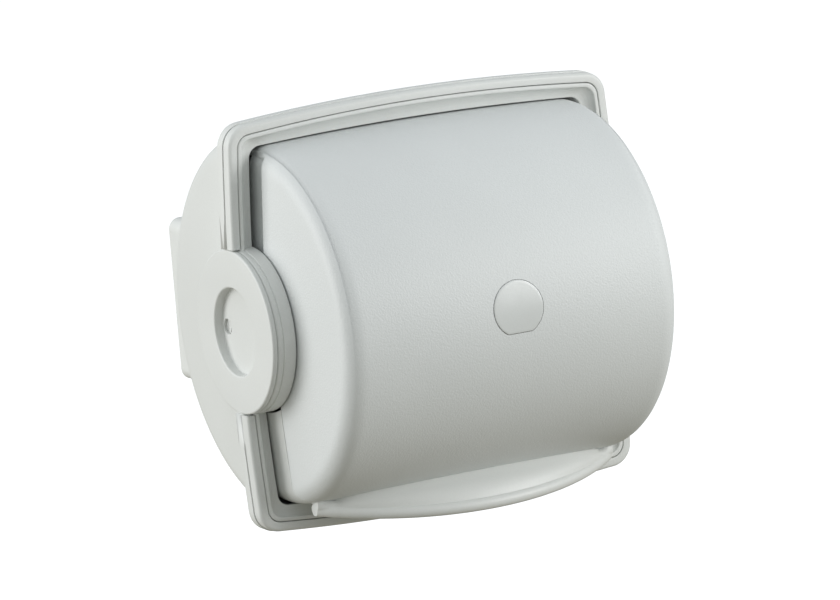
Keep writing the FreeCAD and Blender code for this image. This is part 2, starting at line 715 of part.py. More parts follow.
# ---------------------------------------------------------------- roll spindle
def spindle():
    """Two telescoping halves with a spring between them; their end pins sit in the hub sockets."""
    pin_tip = "(journal_end+pin_long)"
    shoulder = "(journal_end-0.6)"
    bore = "(spindle_radius-spindle_wall)"
    finish("spindle_sleeve", turned("spindle_sleeve", [
        ("-" + pin_tip, "0"), ("-" + pin_tip, "pin_radius"), ("-" + shoulder, "pin_radius"),
        ("-" + shoulder, "spindle_radius"), ("sleeve_end", "spindle_radius"), ("sleeve_end", bore),
        ("-sleeve_wall", bore), ("-sleeve_wall", "0")]))
    slim = "(spindle_radius-spindle_wall-running_gap)"
    finish("spindle_plunger", turned("spindle_plunger", [
        (pin_tip, "0"), (pin_tip, "pin_radius"), (shoulder, "pin_radius"), (shoulder, slim),
        ("-plunger_start", slim), ("-plunger_start", "plunger_bore"),
        ("plunger_wall", "plunger_bore"), ("plunger_wall", "0")]))


def spindle_spring():
    """Compression spring inside the two halves, from the sleeve's end wall to the plunger's."""
    start, length, turns, mean_radius, wire = -57.0, 106.0, 14, 5.2, 0.6
    helix = Part.makeHelix(length / turns, length, mean_radius)
    path = Part.Wire(helix.Edges)
    ring = Part.Wire([Part.makeCircle(wire, Vector(mean_radius, 0, 0), Y_AXIS)])
    coil = path.makePipeShell([ring], True, True)
    coil.rotate(Vector(0, 0, 0), Y_AXIS, 90)
    coil.translate(Vector(start, 0, 0))
    spring = named("Part::Feature", "spindle_spring")
    spring.Shape = coil
    finish("spindle_spring", spring)


rear_housing()
inner_frame()
trim("upper_trim", True)
trim("lower_trim", False)
cover_shell()
badge_disc()
lower_lip()
hub_cap("left")
hub_cap("right")
drag_ring("left", "-")
drag_ring("right", "")
pivot_bush("left", "-cover_side")
pivot_bush("right", "boss_inner")
cap_screws("left")
cap_screws("right")
wall_bracket()
bracket_screws()
lip_screws()
spindle()
spindle_spring()
doc.recompute()

# ---------------------------------------------------------------- check and write
broken = [obj.Name for obj in doc.Objects if "Invalid" in obj.State or "Error" in obj.State]
if broken:
    raise RuntimeError("objects that failed: " + ", ".join(broken))
os.makedirs("parts", exist_ok=True)
for label, obj in pieces.items():
    shape = obj.Shape
    if shape.isNull() or not shape.isValid():
        raise RuntimeError(label + " has no valid shape")
    box = shape.BoundBox
    print("%-18s solids %d volume %9.0f  x %.1f..%.1f  y %.1f..%.1f  z %.1f..%.1f" % (
        label, len(shape.Solids), shape.Volume, box.XMin, box.XMax, box.YMin, box.YMax, box.ZMin, box.ZMax))
    shape.exportStep("parts/%s.step" % label)
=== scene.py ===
"""Looks of the recessed paper roll holder: detailed surfaces and finishes around its fixed CAD frame.

Surfaces are worked out in metres about the hinge axis, so y = 0 there is the axis, the front is -y
and the wall is +y; placed() moves them to the frame's own origin.
"""

import json
import math

import bmesh
import bpy
import numpy as np
from mathutils import Matrix, Vector


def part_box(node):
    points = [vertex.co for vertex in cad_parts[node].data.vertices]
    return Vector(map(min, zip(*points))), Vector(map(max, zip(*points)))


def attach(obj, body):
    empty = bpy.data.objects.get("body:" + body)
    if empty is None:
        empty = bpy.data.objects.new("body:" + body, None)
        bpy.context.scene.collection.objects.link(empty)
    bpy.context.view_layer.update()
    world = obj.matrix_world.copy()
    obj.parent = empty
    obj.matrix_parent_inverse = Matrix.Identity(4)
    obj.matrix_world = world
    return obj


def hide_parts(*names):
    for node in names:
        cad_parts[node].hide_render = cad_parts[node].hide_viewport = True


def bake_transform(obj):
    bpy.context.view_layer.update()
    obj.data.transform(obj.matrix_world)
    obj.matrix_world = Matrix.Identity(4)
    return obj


bl_info = {
    "name": "Paper Roll Holder Looks",
    "version": (1, 0, 0),
    "blender": (4, 5, 0),
    "location": "3D View > Sidebar > Roll Holder",
    "description": "Builds the detailed surfaces and finishes of a recessed paper roll holder",
    "category": "Object",
}

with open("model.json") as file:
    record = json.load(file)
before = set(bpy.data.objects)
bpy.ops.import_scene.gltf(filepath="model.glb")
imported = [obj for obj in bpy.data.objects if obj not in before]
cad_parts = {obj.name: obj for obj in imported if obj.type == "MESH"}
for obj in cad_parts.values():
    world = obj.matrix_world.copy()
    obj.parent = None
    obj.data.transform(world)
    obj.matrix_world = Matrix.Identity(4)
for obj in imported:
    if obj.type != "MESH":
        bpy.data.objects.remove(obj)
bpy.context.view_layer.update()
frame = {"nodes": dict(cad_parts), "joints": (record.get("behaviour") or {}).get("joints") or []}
MM = 0.001
HINGE = next(joint for joint in frame["joints"] if joint["name"] == "cover_hinge")
HUB_Y = HINGE["pos_m"][1]
SMOOTH_ANGLE = math.radians(35)
COVER_STEP = 1.35 * MM    # spacing of the cover's points along its profile


def top_of(node, axis):
    """The highest coordinate of a CAD node along axis 0, 1 or 2, about the hinge axis."""
    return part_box(node)[1][axis] - (HUB_Y if axis == 1 else 0)


def low_of(node, axis):
    """The lowest coordinate of a CAD node along axis 0, 1 or 2, about the hinge axis."""
    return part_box(node)[0][axis] - (HUB_Y if axis == 1 else 0)


# ---------------------------------------------------------------- settings
def length(name, description, default):
    """A size in metres that can be changed in the panel."""
    return bpy.props.FloatProperty(name=name, description=description, default=default, unit="LENGTH",
                                   precision=5)


def colour(name, description, default):
    """A colour that can be changed in the panel, as an sRGB hex value."""
    return bpy.props.StringProperty(name=name, description=description, default=default)


class CoverSettings(bpy.types.PropertyGroup):
    """Sizes of the rotating cover and of the fixed lip that it closes on."""
    side: length("Half width", "Middle of the cover to its side beside the hub", top_of("cover_shell", 0))
    taper: length("Side taper", "How far each side leans in at the drum's edge", 2.4 * MM)
    crown_radius: length("Crown radius", "Hinge axis to the top of the drum", top_of("cover_shell", 2))
    crown: length("Crown", "How much the drum swells between its edges", 2.0 * MM)
    edge: length("Edge rounding", "Radius between the side and the drum", 7.0 * MM)
    wall: length("Wall", "Thickness of the moulding", 2.2 * MM)
    side_edge: length("Side edge", "Rear edge of the cover's side, in front of the axis", 9.3 * MM)
    seam: length("Lower seam", "Where the cover's side meets the lip, in front of the axis", 12.4 * MM)
    gap: length("Seam gap", "Clearance between the cover and the lip", 0.3 * MM)
    lug: length("Lug radius", "Round lug that turns on the journal", 28.0 * MM)
    lip_half: length("Lip half width", "Middle of the lip to its end", 63.5 * MM)
    crease_y: length("Crease foot, forwards", "Axis to the crease at the cover's sides", 22.0 * MM)
    crease_z: length("Crease foot, down", "Axis to the crease at the cover's sides", 64.0 * MM)
    crease_slope: bpy.props.FloatProperty(name="Crease slope", description="Rise of the crease forwards",
                                          default=0.307)
    skirt: length("Skirt inset", "How far the panel beside the frame is set in", 1.9 * MM)


class FrameSettings(bpy.types.PropertyGroup):
    """Sizes of the bowed rectangular frame and its trim."""
    trim_half_width: length("Trim half width", "At the corners", 79.8 * MM)
    trim_half_height: length("Trim half height", "At the corners", 75.7 * MM)
    trim_width: length("Trim width", "Outside edge to the seam", 3.3 * MM)
    side_bow: length("Side bow", "How much the sides swell", 3.0 * MM)
    top_bow: length("Top bow", "How much the top and bottom swell", 4.0 * MM)
    trim_soft: length("Trim rounding", "Radius of the trim's front outer edge", 1.4 * MM)
    front: length("Front plane", "Front of the trim about the hinge axis", -5.0 * MM)
    back: length("Back plane", "Back of the trim about the hinge axis", -0.45 * MM)
    seam_gap: length("Seam gap", "Between the trim and the inner frame", 0.25 * MM)


class HubSettings(bpy.types.PropertyGroup):
    """Sizes of the hub caps, the collars round them and the pivots."""
    face: length("Cap face", "Middle of the holder to the outside of the cap", top_of("right_hub_cap", 0))
    radius: length("Cap radius", "Outside radius of the cap", top_of("right_hub_cap", 2))
    rim: length("Cap rim", "Thickness of the cap's edge", 1.9 * MM)
    dish_radius: length("Dish radius", "Radius of the dish in the cap", 16.5 * MM)
    dish_depth: length("Dish depth", "Depth of the dish", 3.6 * MM)
    peg_offset: length("Peg offset", "Axis to the locating peg, towards the wall", 12.7 * MM)
    peg_hole: length("Peg hole", "Radius of the hole round the peg", 2.9 * MM)
    journal: length("Journal radius", "Radius that the cover turns on", 8.5 * MM)
    collar: length("Collar radius", "Outside radius of the collar", 31.0 * MM)


class FinishSettings(bpy.types.PropertyGroup):
    """Colours of the finishes, as sRGB hex values."""
    shell: colour("Shell", "Smooth light grey plastic", "DADCD9")
    cover: colour("Cover", "Textured light grey plastic", "D9DCDB")
    badge: colour("Badge", "Semi-gloss light grey plastic", "D3D6D4")
    acetal: colour("Acetal", "Natural bearing plastic", "E9E7DF")
    spindle: colour("Spindle", "White spindle plastic", "E6E6E2")
    # also the colour of the thin dark ring round the badge, which is painted shade in its gap
    rubber: colour("Rubber", "Black seal rubber", "1B1B1C")
    steel: colour("Steel", "Stainless steel", "B9BABC")
    floor: colour("Floor", "Pale paper sweep", "F7F7F7")


class StageSettings(bpy.types.PropertyGroup):
    """The floor, the lights and the camera."""
    floor_drop: length("Floor drop", "Floor below the hinge axis", 0.32)
    distance: length("Camera distance", "Camera to the holder", 1.9255)
    turn: bpy.props.FloatProperty(name="Turn", description="Camera to the left of straight ahead",
                                  default=math.radians(27.95), subtype="ANGLE")
    rise: bpy.props.FloatProperty(name="Rise", description="Camera above level",
                                  default=math.radians(10.09), subtype="ANGLE")
    roll: bpy.props.FloatProperty(name="Roll", description="Tilt of the picture",
                                  default=math.radians(-4.59), subtype="ANGLE")
    lens: bpy.props.FloatProperty(name="Lens", description="Focal length in millimetres", default=220.16)
    aside: length("Aside", "How far the camera is moved sideways", -5.7 * MM)


# ---------------------------------------------------------------- shape functions
def placed(x, y, z):
    """Stacks coordinates about the hinge axis into points in the frame's own origin."""
    x, y, z = np.broadcast_arrays(np.asarray(x, float), np.asarray(y, float), np.asarray(z, float))
    return np.stack([x, y + HUB_Y, z], axis=-1)


def smooth_step(low, high, value):
    """0 below low, 1 above high, and a smooth cubic between them."""
    t = np.clip((value - low) / (high - low), 0, 1)
    return t * t * (3 - 2 * t)


def corner_arc(corner, back, ahead, radius, count):
    """An arc of that radius, tangent to both sides of a corner that leave it along the unit vectors
    back and ahead: it starts and ends radius / tan(half the corner's angle) away from the corner."""
    inside = math.acos(float(np.clip(back @ ahead, -1, 1)))
    sweep = math.pi - inside
    away = radius / math.tan(inside / 2)
    centre = corner + (back + ahead) / np.linalg.norm(back + ahead) * radius / math.sin(inside / 2)
    first, last = corner + back * away - centre, corner + ahead * away - centre
    share = np.linspace(0, 1, count)[:, None]
    return centre + (np.sin((1 - share) * sweep) * first + np.sin(share * sweep) * last) / math.sin(sweep)


def rounded(corners, step=math.radians(9)):
    """A polyline through corners (a, b, radius), each turned by an arc of its radius. The line is
    open, and its two ends are kept as they are."""
    line = [np.array(corners[0][:2], float)]
    for before, corner, after in zip(corners, corners[1:], corners[2:]):
        here, radius = np.array(corner[:2], float), corner[2] if len(corner) > 2 else 0
        back = np.array(before[:2], float) - here
        ahead = np.array(after[:2], float) - here
        back /= np.linalg.norm(back)
        ahead /= np.linalg.norm(ahead)
        inside = math.acos(float(np.clip(back @ ahead, -1, 1)))
        if radius <= 0 or inside > math.pi - 1e-4:
            line.append(here)
            continue
        count = max(2, math.ceil((math.pi - inside) / step) + 1)
        line.extend(corner_arc(here, back, ahead, radius, count))
    line.append(np.array(corners[-1][:2], float))
    return np.array(line)


def rounded_loop(corners):
    """A closed polyline through corners (a, b, radius), starting midway along its last side."""
    middle = tuple((np.array(corners[0][:2], float) + np.array(corners[-1][:2], float)) / 2)
    return rounded([middle, *corners, middle])[:-1]


def even(line, spacing):
    """The same line with points spaced evenly along it, about spacing apart."""
    steps = np.linalg.norm(np.diff(line, axis=0), axis=1)
    along = np.concatenate([[0], np.cumsum(steps)])
    wanted = np.linspace(0, along[-1], max(2, int(round(along[-1] / spacing)) + 1))
    return np.stack([np.interp(wanted, along, line[:, i]) for i in range(line.shape[1])], axis=1)


def side_normals(line):
    """Unit normals of a planar line, a quarter turn to the left of its direction."""
    along = np.gradient(line, axis=0)
    along /= np.linalg.norm(along, axis=1, keepdims=True)
    return np.stack([-along[:, 1], along[:, 0]], axis=1)


# ---------------------------------------------------------------- mesh building
def quads(rows, columns, wrap_rows=False, wrap_columns=False):
    """Quads between neighbours on a grid of points counted row by row."""
    row = np.arange(rows if wrap_rows else rows - 1)
    column = np.arange(columns if wrap_columns else columns - 1)
    row, column = np.meshgrid(row, column, indexing="ij")
    row_after, column_after = (row + 1) % rows, (column + 1) % columns
    corners = [row * columns + column, row_after * columns + column,
               row_after * columns + column_after, row * columns + column_after]
    return np.stack(corners, axis=-1).reshape(-1, 4).tolist()


def tube(points, closed=False):
    """A closed shell from rows of closed loops: the loops are joined in order, and the first and
    last are filled, or joined to each other if closed."""
    rows, columns = points.shape[:2]
    faces = quads(rows, columns, closed, True)
    if not closed:
        faces += [list(range(columns)), list(range((rows - 1) * columns, rows * columns))]
    return points.reshape(-1, 3), faces


def wall(outer, inner):
    """A closed shell between two skins with equal grids: both skins, and a strip round the border."""
    rows, columns = outer.shape[:2]
    count = rows * columns
    skin = np.array(quads(rows, columns))
    index = np.arange(count).reshape(rows, columns)
    border = np.concatenate([index[0, :-1], index[:-1, -1], index[-1, :0:-1], index[:0:-1, 0]])
    after = np.roll(border, -1)
    strip = np.stack([border, after, after + count, border + count], axis=1)
    faces = skin.tolist() + (skin[:, ::-1] + count).tolist() + strip.tolist()
    return np.concatenate([outer.reshape(-1, 3), inner.reshape(-1, 3)]), faces


def piece(name, shells, sharp=SMOOTH_ANGLE):
    """One object from closed shells, each a pair of points and faces: doubles at poles are merged,
    faces are turned outwards and shaded smooth up to the sharp angle."""
    points, faces, start = [], [], 0
    for shell_points, shell_faces in shells:
        points.append(shell_points)
        faces += [[index + start for index in face] for face in shell_faces]
        start += len(shell_points)
    mesh = bpy.data.meshes.new(name)
    mesh.from_pydata(np.concatenate(points).tolist(), [], faces)
    return from_mesh(name, mesh, sharp)


def from_mesh(name, mesh, sharp=SMOOTH_ANGLE):
    """An object for a mesh whose doubles are merged and whose faces are turned outwards."""
    work = bmesh.new()
    work.from_mesh(mesh)
    bmesh.ops.remove_doubles(work, verts=work.verts, dist=1e-6)
    bmesh.ops.dissolve_degenerate(work, dist=1e-7, edges=work.edges)
    bmesh.ops.recalc_face_normals(work, faces=work.faces)
    work.to_mesh(mesh)
    work.free()
    mesh.polygons.foreach_set("use_smooth", np.ones(len(mesh.polygons), bool))
    mesh.set_sharp_from_angle(angle=sharp)
    made = bpy.data.objects.new(name, mesh)
    bpy.context.scene.collection.objects.link(made)
    return made


def cad_copy(name, node):
    """A copy of a CAD node's mesh as a new piece, merged so that it can be shaded smoothly."""
    mesh = frame["nodes"][node].data.copy()
    mesh.name = name
    mesh.materials.clear()
    return from_mesh(name, mesh, math.radians(25))


def soften(made, width, segments=3, angle=40):
    """A small rounding on the edges sharper than angle degrees."""
    bevel = made.modifiers.new("Soft edges", "BEVEL")
    bevel.width = width
    bevel.segments = segments
    bevel.limit_method = "ANGLE"
    bevel.angle_limit = math.radians(angle)
    bevel.harden_normals = True
    return made


def finish_piece(made, material, body, slot, *nodes):
    """Gives a piece its material and CAD body, and hides the CAD nodes that it stands for. slot is not used.
    """
    made.data.materials.append(material)
    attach(made, body)
    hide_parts(*nodes)
    return made


def lathe(profile, count=96, closed=False):
    """A shell turned about the hinge axis from (x, radius) points; rows run round the axis."""
    angle = np.linspace(0, 2 * math.pi, count, endpoint=False)[:, None]
    x, radius = profile[:, 0], profile[:, 1]
    points = placed(np.broadcast_to(x, (count, len(x))), -radius * np.cos(angle), radius * np.sin(angle))
    faces = quads(count, len(x), True, closed)
    return points.reshape(-1, 3), faces


# ---------------------------------------------------------------- materials
def linear(hex_value):
    """sRGB hex to a linear colour with full alpha."""
    values = np.array([int(hex_value[i:i + 2], 16) for i in (0, 2, 4)]) / 255
    low, high = values / 12.92, ((values + 0.055) / 1.055) ** 2.4
    return (*np.where(values <= 0.04045, low, high).tolist(), 1.0)


def add_node(tree, kind, inputs=(), **properties):
    """Adds a node, sets its properties, and gives each input a value or a link."""
    node = tree.nodes.new(kind)
    for name, setting in properties.items():
        setattr(node, name, setting)
    for name, setting in dict(inputs).items():
        if isinstance(setting, bpy.types.NodeSocket):
            tree.links.new(setting, node.inputs[name])
        else:
            node.inputs[name].default_value = setting
    return node


def new_material(name):
    """An empty node material, with its Principled shader and the object's coordinates."""
    material = bpy.data.materials.new(name)
    material.use_nodes = True
    tree = material.node_tree
    tree.nodes.clear()
    shader = add_node(tree, "ShaderNodeBsdfPrincipled")
    add_node(tree, "ShaderNodeOutputMaterial", {"Surface": shader.outputs[0]})
    where = add_node(tree, "ShaderNodeTexCoord").outputs["Object"]
    return material, tree, shader, where


def mix_colours(tree, share, first, second):
    """A blend from first to second by share, each a colour or a socket."""
    node = add_node(tree, "ShaderNodeMix", data_type="RGBA")
    for socket, setting in ((node.inputs[0], share), (node.inputs[6], first), (node.inputs[7], second)):
        if isinstance(setting, bpy.types.NodeSocket):
            tree.links.new(setting, socket)
        else:
            socket.default_value = setting
    return node.outputs[2]


def shade(tint, factor):
    """A colour made darker or lighter by factor."""
    return (*[min(1.0, channel * factor) for channel in tint[:3]], 1.0)


def moulded_plastic(name, tint, grain, grain_height, roughness, coat=0.0):
    """A pigmented plastic from a mould or a lathe. grain is the texture's pitch in metres and
    grain_height its depth. Slow noise, in patches about 55 mm across, gives the faint cloudiness of
    the pigment, and edges are a little paler, as if polished by use."""
    material, tree, shader, where = new_material(name)
    cloud = add_node(tree, "ShaderNodeTexNoise", {"Vector": where, "Scale": 18.0, "Detail": 3.0})
    fleck = add_node(tree, "ShaderNodeTexNoise", {"Vector": where, "Scale": 1.0 / grain, "Detail": 2.0,
                                                  "Roughness": 0.6})
    cloudy = add_node(tree, "ShaderNodeMapRange", {"Value": cloud.outputs[0], "From Min": 0.35,
                                                   "From Max": 0.65})
    body = mix_colours(tree, cloudy.outputs[0], shade(tint, 0.975), shade(tint, 1.015))
    flecks = add_node(tree, "ShaderNodeMapRange", {"Value": fleck.outputs[0], "From Min": 0.3,
                                                   "From Max": 0.7, "To Max": 0.5})
    body = mix_colours(tree, flecks.outputs[0], body, shade(tint, 0.95))
    edge = add_node(tree, "ShaderNodeNewGeometry").outputs["Pointiness"]
    worn = add_node(tree, "ShaderNodeMapRange", {"Value": edge, "From Min": 0.52, "From Max": 0.62,
                                                 "To Max": 0.5})
    body = mix_colours(tree, worn.outputs[0], body, shade(tint, 1.06))
    tree.links.new(body, shader.inputs["Base Color"])
    gloss = add_node(tree, "ShaderNodeMapRange", {"Value": cloud.outputs[0], "From Min": 0.3,
                                                  "From Max": 0.7, "To Min": roughness - 0.04,
                                                  "To Max": roughness + 0.05})
    tree.links.new(gloss.outputs[0], shader.inputs["Roughness"])
    bump = add_node(tree, "ShaderNodeBump", {"Height": fleck.outputs[0], "Distance": grain_height,
                                             "Strength": 1.0})
    tree.links.new(bump.outputs[0], shader.inputs["Normal"])
    shader.inputs["IOR"].default_value = 1.53
    shader.inputs["Coat Weight"].default_value = coat
    shader.inputs["Coat Roughness"].default_value = 0.25
    return material


def rubber(name, tint):
    """Nitrile rubber, moulded: nearly black, soft sheen, with a faint dusty bloom in patches about
    4 mm across."""
    material, tree, shader, where = new_material(name)
    bloom = add_node(tree, "ShaderNodeTexNoise", {"Vector": where, "Scale": 260.0, "Detail": 4.0})
    body = mix_colours(tree, bloom.outputs[0], tint, shade(tint, 2.2))
    tree.links.new(body, shader.inputs["Base Color"])
    shader.inputs["Roughness"].default_value = 0.6
    bump = add_node(tree, "ShaderNodeBump", {"Height": bloom.outputs[0], "Distance": 0.02 * MM})
    tree.links.new(bump.outputs[0], shader.inputs["Normal"])
    return material


def steel(name, tint, roughness, stretch):
    """Stainless steel: grey metal, with marks about 1 mm long, drawn out along X by stretch."""
    material, tree, shader, where = new_material(name)
    turned = add_node(tree, "ShaderNodeMapping", {"Vector": where, "Scale": (1.0, stretch, stretch)})
    marks = add_node(tree, "ShaderNodeTexNoise", {"Vector": turned.outputs[0], "Scale": 900.0,
                                                  "Detail": 3.0})
    body = mix_colours(tree, marks.outputs[0], shade(tint, 0.86), shade(tint, 1.08))
    tree.links.new(body, shader.inputs["Base Color"])
    shader.inputs["Metallic"].default_value = 1.0
    rough = add_node(tree, "ShaderNodeMapRange", {"Value": marks.outputs[0], "To Min": roughness - 0.06,
                                                  "To Max": roughness + 0.08})
    tree.links.new(rough.outputs[0], shader.inputs["Roughness"])
    bump = add_node(tree, "ShaderNodeBump", {"Height": marks.outputs[0], "Distance": 0.01 * MM})
    tree.links.new(bump.outputs[0], shader.inputs["Normal"])
    return material


def paper_sweep(name, tint):
    """The floor's matt paper: a faint long-fibre tone."""
    material, tree, shader, where = new_material(name)
    fibre = add_node(tree, "ShaderNodeTexNoise", {"Vector": where, "Scale": 30.0, "Detail": 5.0})
    body = mix_colours(tree, fibre.outputs[0], shade(tint, 0.99), shade(tint, 1.01))
    tree.links.new(body, shader.inputs["Base Color"])
    shader.inputs["Roughness"].default_value = 0.9
    shader.inputs["Specular IOR Level"].default_value = 0.2
    shader.inputs["Emission Color"].default_value = tint
    shader.inputs["Emission Strength"].default_value = 0.55
    return material


FINISHES = {}


def finish(name):
    """The material of that short name, made the first time it is asked for."""
    if name in FINISHES:
        return FINISHES[name]
    tints = bpy.context.scene.roll_holder_finish
    makers = {
        # satin skin of a polished mould, with the faintest orange peel, drawn coarse enough to show
        "shell": lambda: moulded_plastic("ABS, moulded, satin", linear(tints.shell), 0.9 * MM,
                                         0.012 * MM, 0.42),
        # spark-eroded mould: an even, matt grain, drawn coarser than a real one so that it shows
        "cover": lambda: moulded_plastic("ABS, moulded, spark texture", linear(tints.cover), 0.75 * MM,
                                         0.11 * MM, 0.5),
        # polished insert: a tighter, brighter highlight
        "badge": lambda: moulded_plastic("ABS, moulded, semi-gloss", linear(tints.badge), 0.8 * MM,
                                         0.006 * MM, 0.3, 0.3),
        # turned acetal: waxy, off-white
        "acetal": lambda: moulded_plastic("Acetal, turned", linear(tints.acetal), 0.7 * MM, 0.01 * MM, 0.35),
        # polypropylene: soft white with a waxy sheen
        "spindle": lambda: moulded_plastic("Polypropylene, moulded", linear(tints.spindle), 0.8 * MM,
                                           0.012 * MM, 0.38),
        # also the finish of the thin dark ring round the badge, which is painted shade in its gap
        "rubber": lambda: rubber("Nitrile rubber, moulded", linear(tints.rubber)),
        # cold-headed screw: bright grey with rolled marks
        "screw": lambda: steel("Stainless steel, cold-headed", linear(tints.steel), 0.28, 3.0),
        # drawn wire: marks run along the wire
        "spring": lambda: steel("Stainless steel wire, drawn", linear(tints.steel), 0.22, 8.0),
        "floor": lambda: paper_sweep("Paper sweep, matt", linear(tints.floor)),
    }
    FINISHES[name] = makers[name]()
    return FINISHES[name]


# ---------------------------------------------------------------- cover and lower lip
def drum_profile(settings, inner_radius, spacing):
    """The drum's outer (x, radius) line: up one tapered side, round the edge, over the crowned top
    and down the other side. The crown adds crown * (1 - (x / edge x) squared) to the top."""
    side, taper = settings.side, settings.taper
    shoulder, rim = 31 * MM, settings.crown_radius - settings.crown
    half = side - taper
    right = [(half, rim, settings.edge)]
    if inner_radius < shoulder:
        right.append((side, shoulder, 20 * MM))
    right.append((side, inner_radius))
    left = [(-x, *rest) for x, *rest in reversed(right)]
    line = even(rounded(left + right), spacing)
    line[:, 1] += settings.crown * np.clip(1 - (line[:, 0] / half) ** 2, 0, 1)
    return line


def crease_angle(radius, settings):
    """Angle below the horizontal where a circle of that radius meets the crease, a plane through
    (y, z) = -(crease_y, crease_z) that rises forwards by crease_slope: the plane's distance from the
    axis over the radius gives the arc cosine, counted from the plane's own foot."""
    slope = settings.crease_slope
    foot = math.atan2(1.0, slope)
    distance = (settings.crease_z + slope * settings.crease_y) / math.hypot(1.0, slope)
    return foot - np.arccos(np.clip(distance / radius, -1, 1))


def cover_limits(x, radius, settings):
    """Lowest and highest angle of the cover at each point of its profile. On the sides both edges
    are upright lines, so the angle is the arc cosine of the line's distance over the radius; on the
    drum the lower edge is the crease, and the top runs on behind the frame. Each edge passes from
    the one to the other over the drum's rounded corner."""
    away = np.abs(x)
    drum_top = math.radians(101)
    side_top = np.arccos(settings.side_edge / radius)
    top = side_top + (drum_top - side_top) * (1 - smooth_step(65.5 * MM, 67.5 * MM, away))
    side_low = np.arccos((settings.seam + settings.gap / 2) / radius)
    crease = crease_angle(radius, settings) - settings.gap / radius
    low = crease + (side_low - crease) * smooth_step(65.0 * MM, 70.5 * MM, away)
    return -low, top


def swept_skin(line, low, top, rows):
    """Turns each (x, radius) point of line about the axis from its angle low to its angle top:
    the angle is measured up from the front, so y = -radius cos and z = radius sin."""
    share = np.linspace(0, 1, rows)[:, None]
    angle = low + (top - low) * share
    return placed(np.broadcast_to(line[:, 0], angle.shape), -line[:, 1] * np.cos(angle),
                  line[:, 1] * np.sin(angle))


def cover_shell(settings):
    """The cover's wall, and the two lugs and bosses that carry it."""
    line = drum_profile(settings, settings.lug - 0.4 * MM, COVER_STEP)
    inside = line - side_normals(line) * settings.wall
    skins = [swept_skin(points, *cover_limits(points[:, 0], points[:, 1], settings), 132)
             for points in (line, inside)]
    shells = [wall(*skins)] + side_skirts(settings)
    lug_face, lug_back = settings.side - 0.04 * MM, settings.side - 0.04 * MM - settings.wall
    boss, bore, boss_end = 13.0 * MM, 9.75 * MM, low_of("right_pivot_bush", 0)
    for sign in (-1, 1):
        lug = rounded_loop([(sign * lug_face, bore), (sign * lug_face, settings.lug, 0.4 * MM),
                            (sign * lug_back, settings.lug, 0.4 * MM), (sign * lug_back, boss, 0.8 * MM),
                            (sign * boss_end, boss, 0.5 * MM), (sign * boss_end, bore)])
        shells.append(lathe(lug, 96, True))
    return shells


def side_skirts(settings):
    """The panels set in behind the side edges: the drum's own sides moved in by skirt, from a line
    12 mm in front of the axis to one 4 mm behind it."""
    front, back, thickness = 12 * MM, -4 * MM, 1.7 * MM
    line = drum_profile(settings, settings.lug - 1.5 * MM, COVER_STEP)
    outer = line - side_normals(line) * settings.skirt
    inner = line - side_normals(line) * (settings.skirt + thickness)
    shells = []
    for sign in (-1, 1):
        picked = outer[:, 0] * sign > 60 * MM
        skins = []
        for points in (outer[picked], inner[picked]):
            low = np.arccos(np.clip(front / points[:, 1], -1, 1))
            top = np.arccos(np.clip(back / points[:, 1], -1, 1))
            skins.append(swept_skin(points, low, top, 24))
        shells.append(wall(*skins))
    return shells


class HOLDER_OT_cover(bpy.types.Operator):
    """Builds the rotating drum-shaped cover"""
    bl_idname = "roll_holder.cover"
    bl_label = "Cover"

    def execute(self, context):
        made = piece("cover_skin", cover_shell(context.scene.roll_holder_cover))
        soften(made, 0.45 * MM)
        finish_piece(made, finish("cover"), "cover", "cover_plastic", "cover_shell")
        return {"FINISHED"}


class HOLDER_OT_badge(bpy.types.Operator):
    """Builds the plain round badge on the cover"""
    bl_idname = "roll_holder.badge"
    bl_label = "Badge"

    def execute(self, context):
        settings = context.scene.roll_holder_cover
        height, radius, chord, line_gap = 4.5 * MM, 10.3 * MM, 9.0 * MM, 0.08 * MM
        made = piece("badge_face", [badge_shell(settings, height, radius, chord)])
        finish_piece(made, finish("badge"), "cover", "badge_plastic", "badge_disc")
        # a thin dark ring just outside the badge: painted shade in place of the shadow in the gap between
        # badge and cover
        seat = piece("badge_seat", [painted_gap_shade_ring(settings, height, radius + line_gap, chord + line_gap)])
        finish_piece(seat, finish("rubber"), "cover", "badge_plastic", "badge_disc")
        return {"FINISHED"}


def badge_outline(radius, chord):
    """Angles round the badge, and how far its edge is in each: the circle or the chord, whichever
    is nearer."""
    angle = np.linspace(0, 2 * math.pi, 180, endpoint=False)
    down = np.maximum(-np.sin(angle), 1e-6)
    return angle, np.minimum(radius, chord / down)


def on_drum(settings, across, up, proud):
    """Points that stand proud of the drum's front: depth is the root of the crowned radius squared
    less z squared."""
    half = settings.side - settings.taper
    skin = settings.crown_radius - settings.crown * (across / half) ** 2 + proud
    return placed(across, -np.sqrt(skin ** 2 - up ** 2), up)


def badge_shell(settings, centre_z, radius, chord):
    """A disc with a flat chord at its foot, ring by ring from the middle; each ring is a share of
    the outline and stands proud by its own amount."""
    rings = np.array([(0.0, 0.2), (0.5, 0.2), (0.9, 0.2), (0.97, 0.2), (0.99, 0.17), (1.0, 0.08),
                      (1.0, -1.2), (0.5, -1.2), (0.0, -1.2)])
    angle, reach = badge_outline(radius, chord)
    across = rings[:, :1] * reach * np.cos(angle)
    up = centre_z + rings[:, :1] * reach * np.sin(angle)
    return tube(on_drum(settings, across, up, rings[:, 1:] * MM))


def painted_gap_shade_ring(settings, centre_z, radius, chord):
    """A thin flat dark ring round the outline of the badge's seat, just above the skin: painted shade
    standing in for the shadow in the gap round the badge.
    """
    loops = []
    for grow, proud in ((0.0, -0.3), (0.0, 0.03), (0.13, 0.03), (0.13, -0.3)):
        angle, reach = badge_outline(radius + grow * MM, chord + grow * MM)
        loops.append(on_drum(settings, reach * np.cos(angle), centre_z + reach * np.sin(angle), proud * MM))
    return tube(np.stack(loops), closed=True)


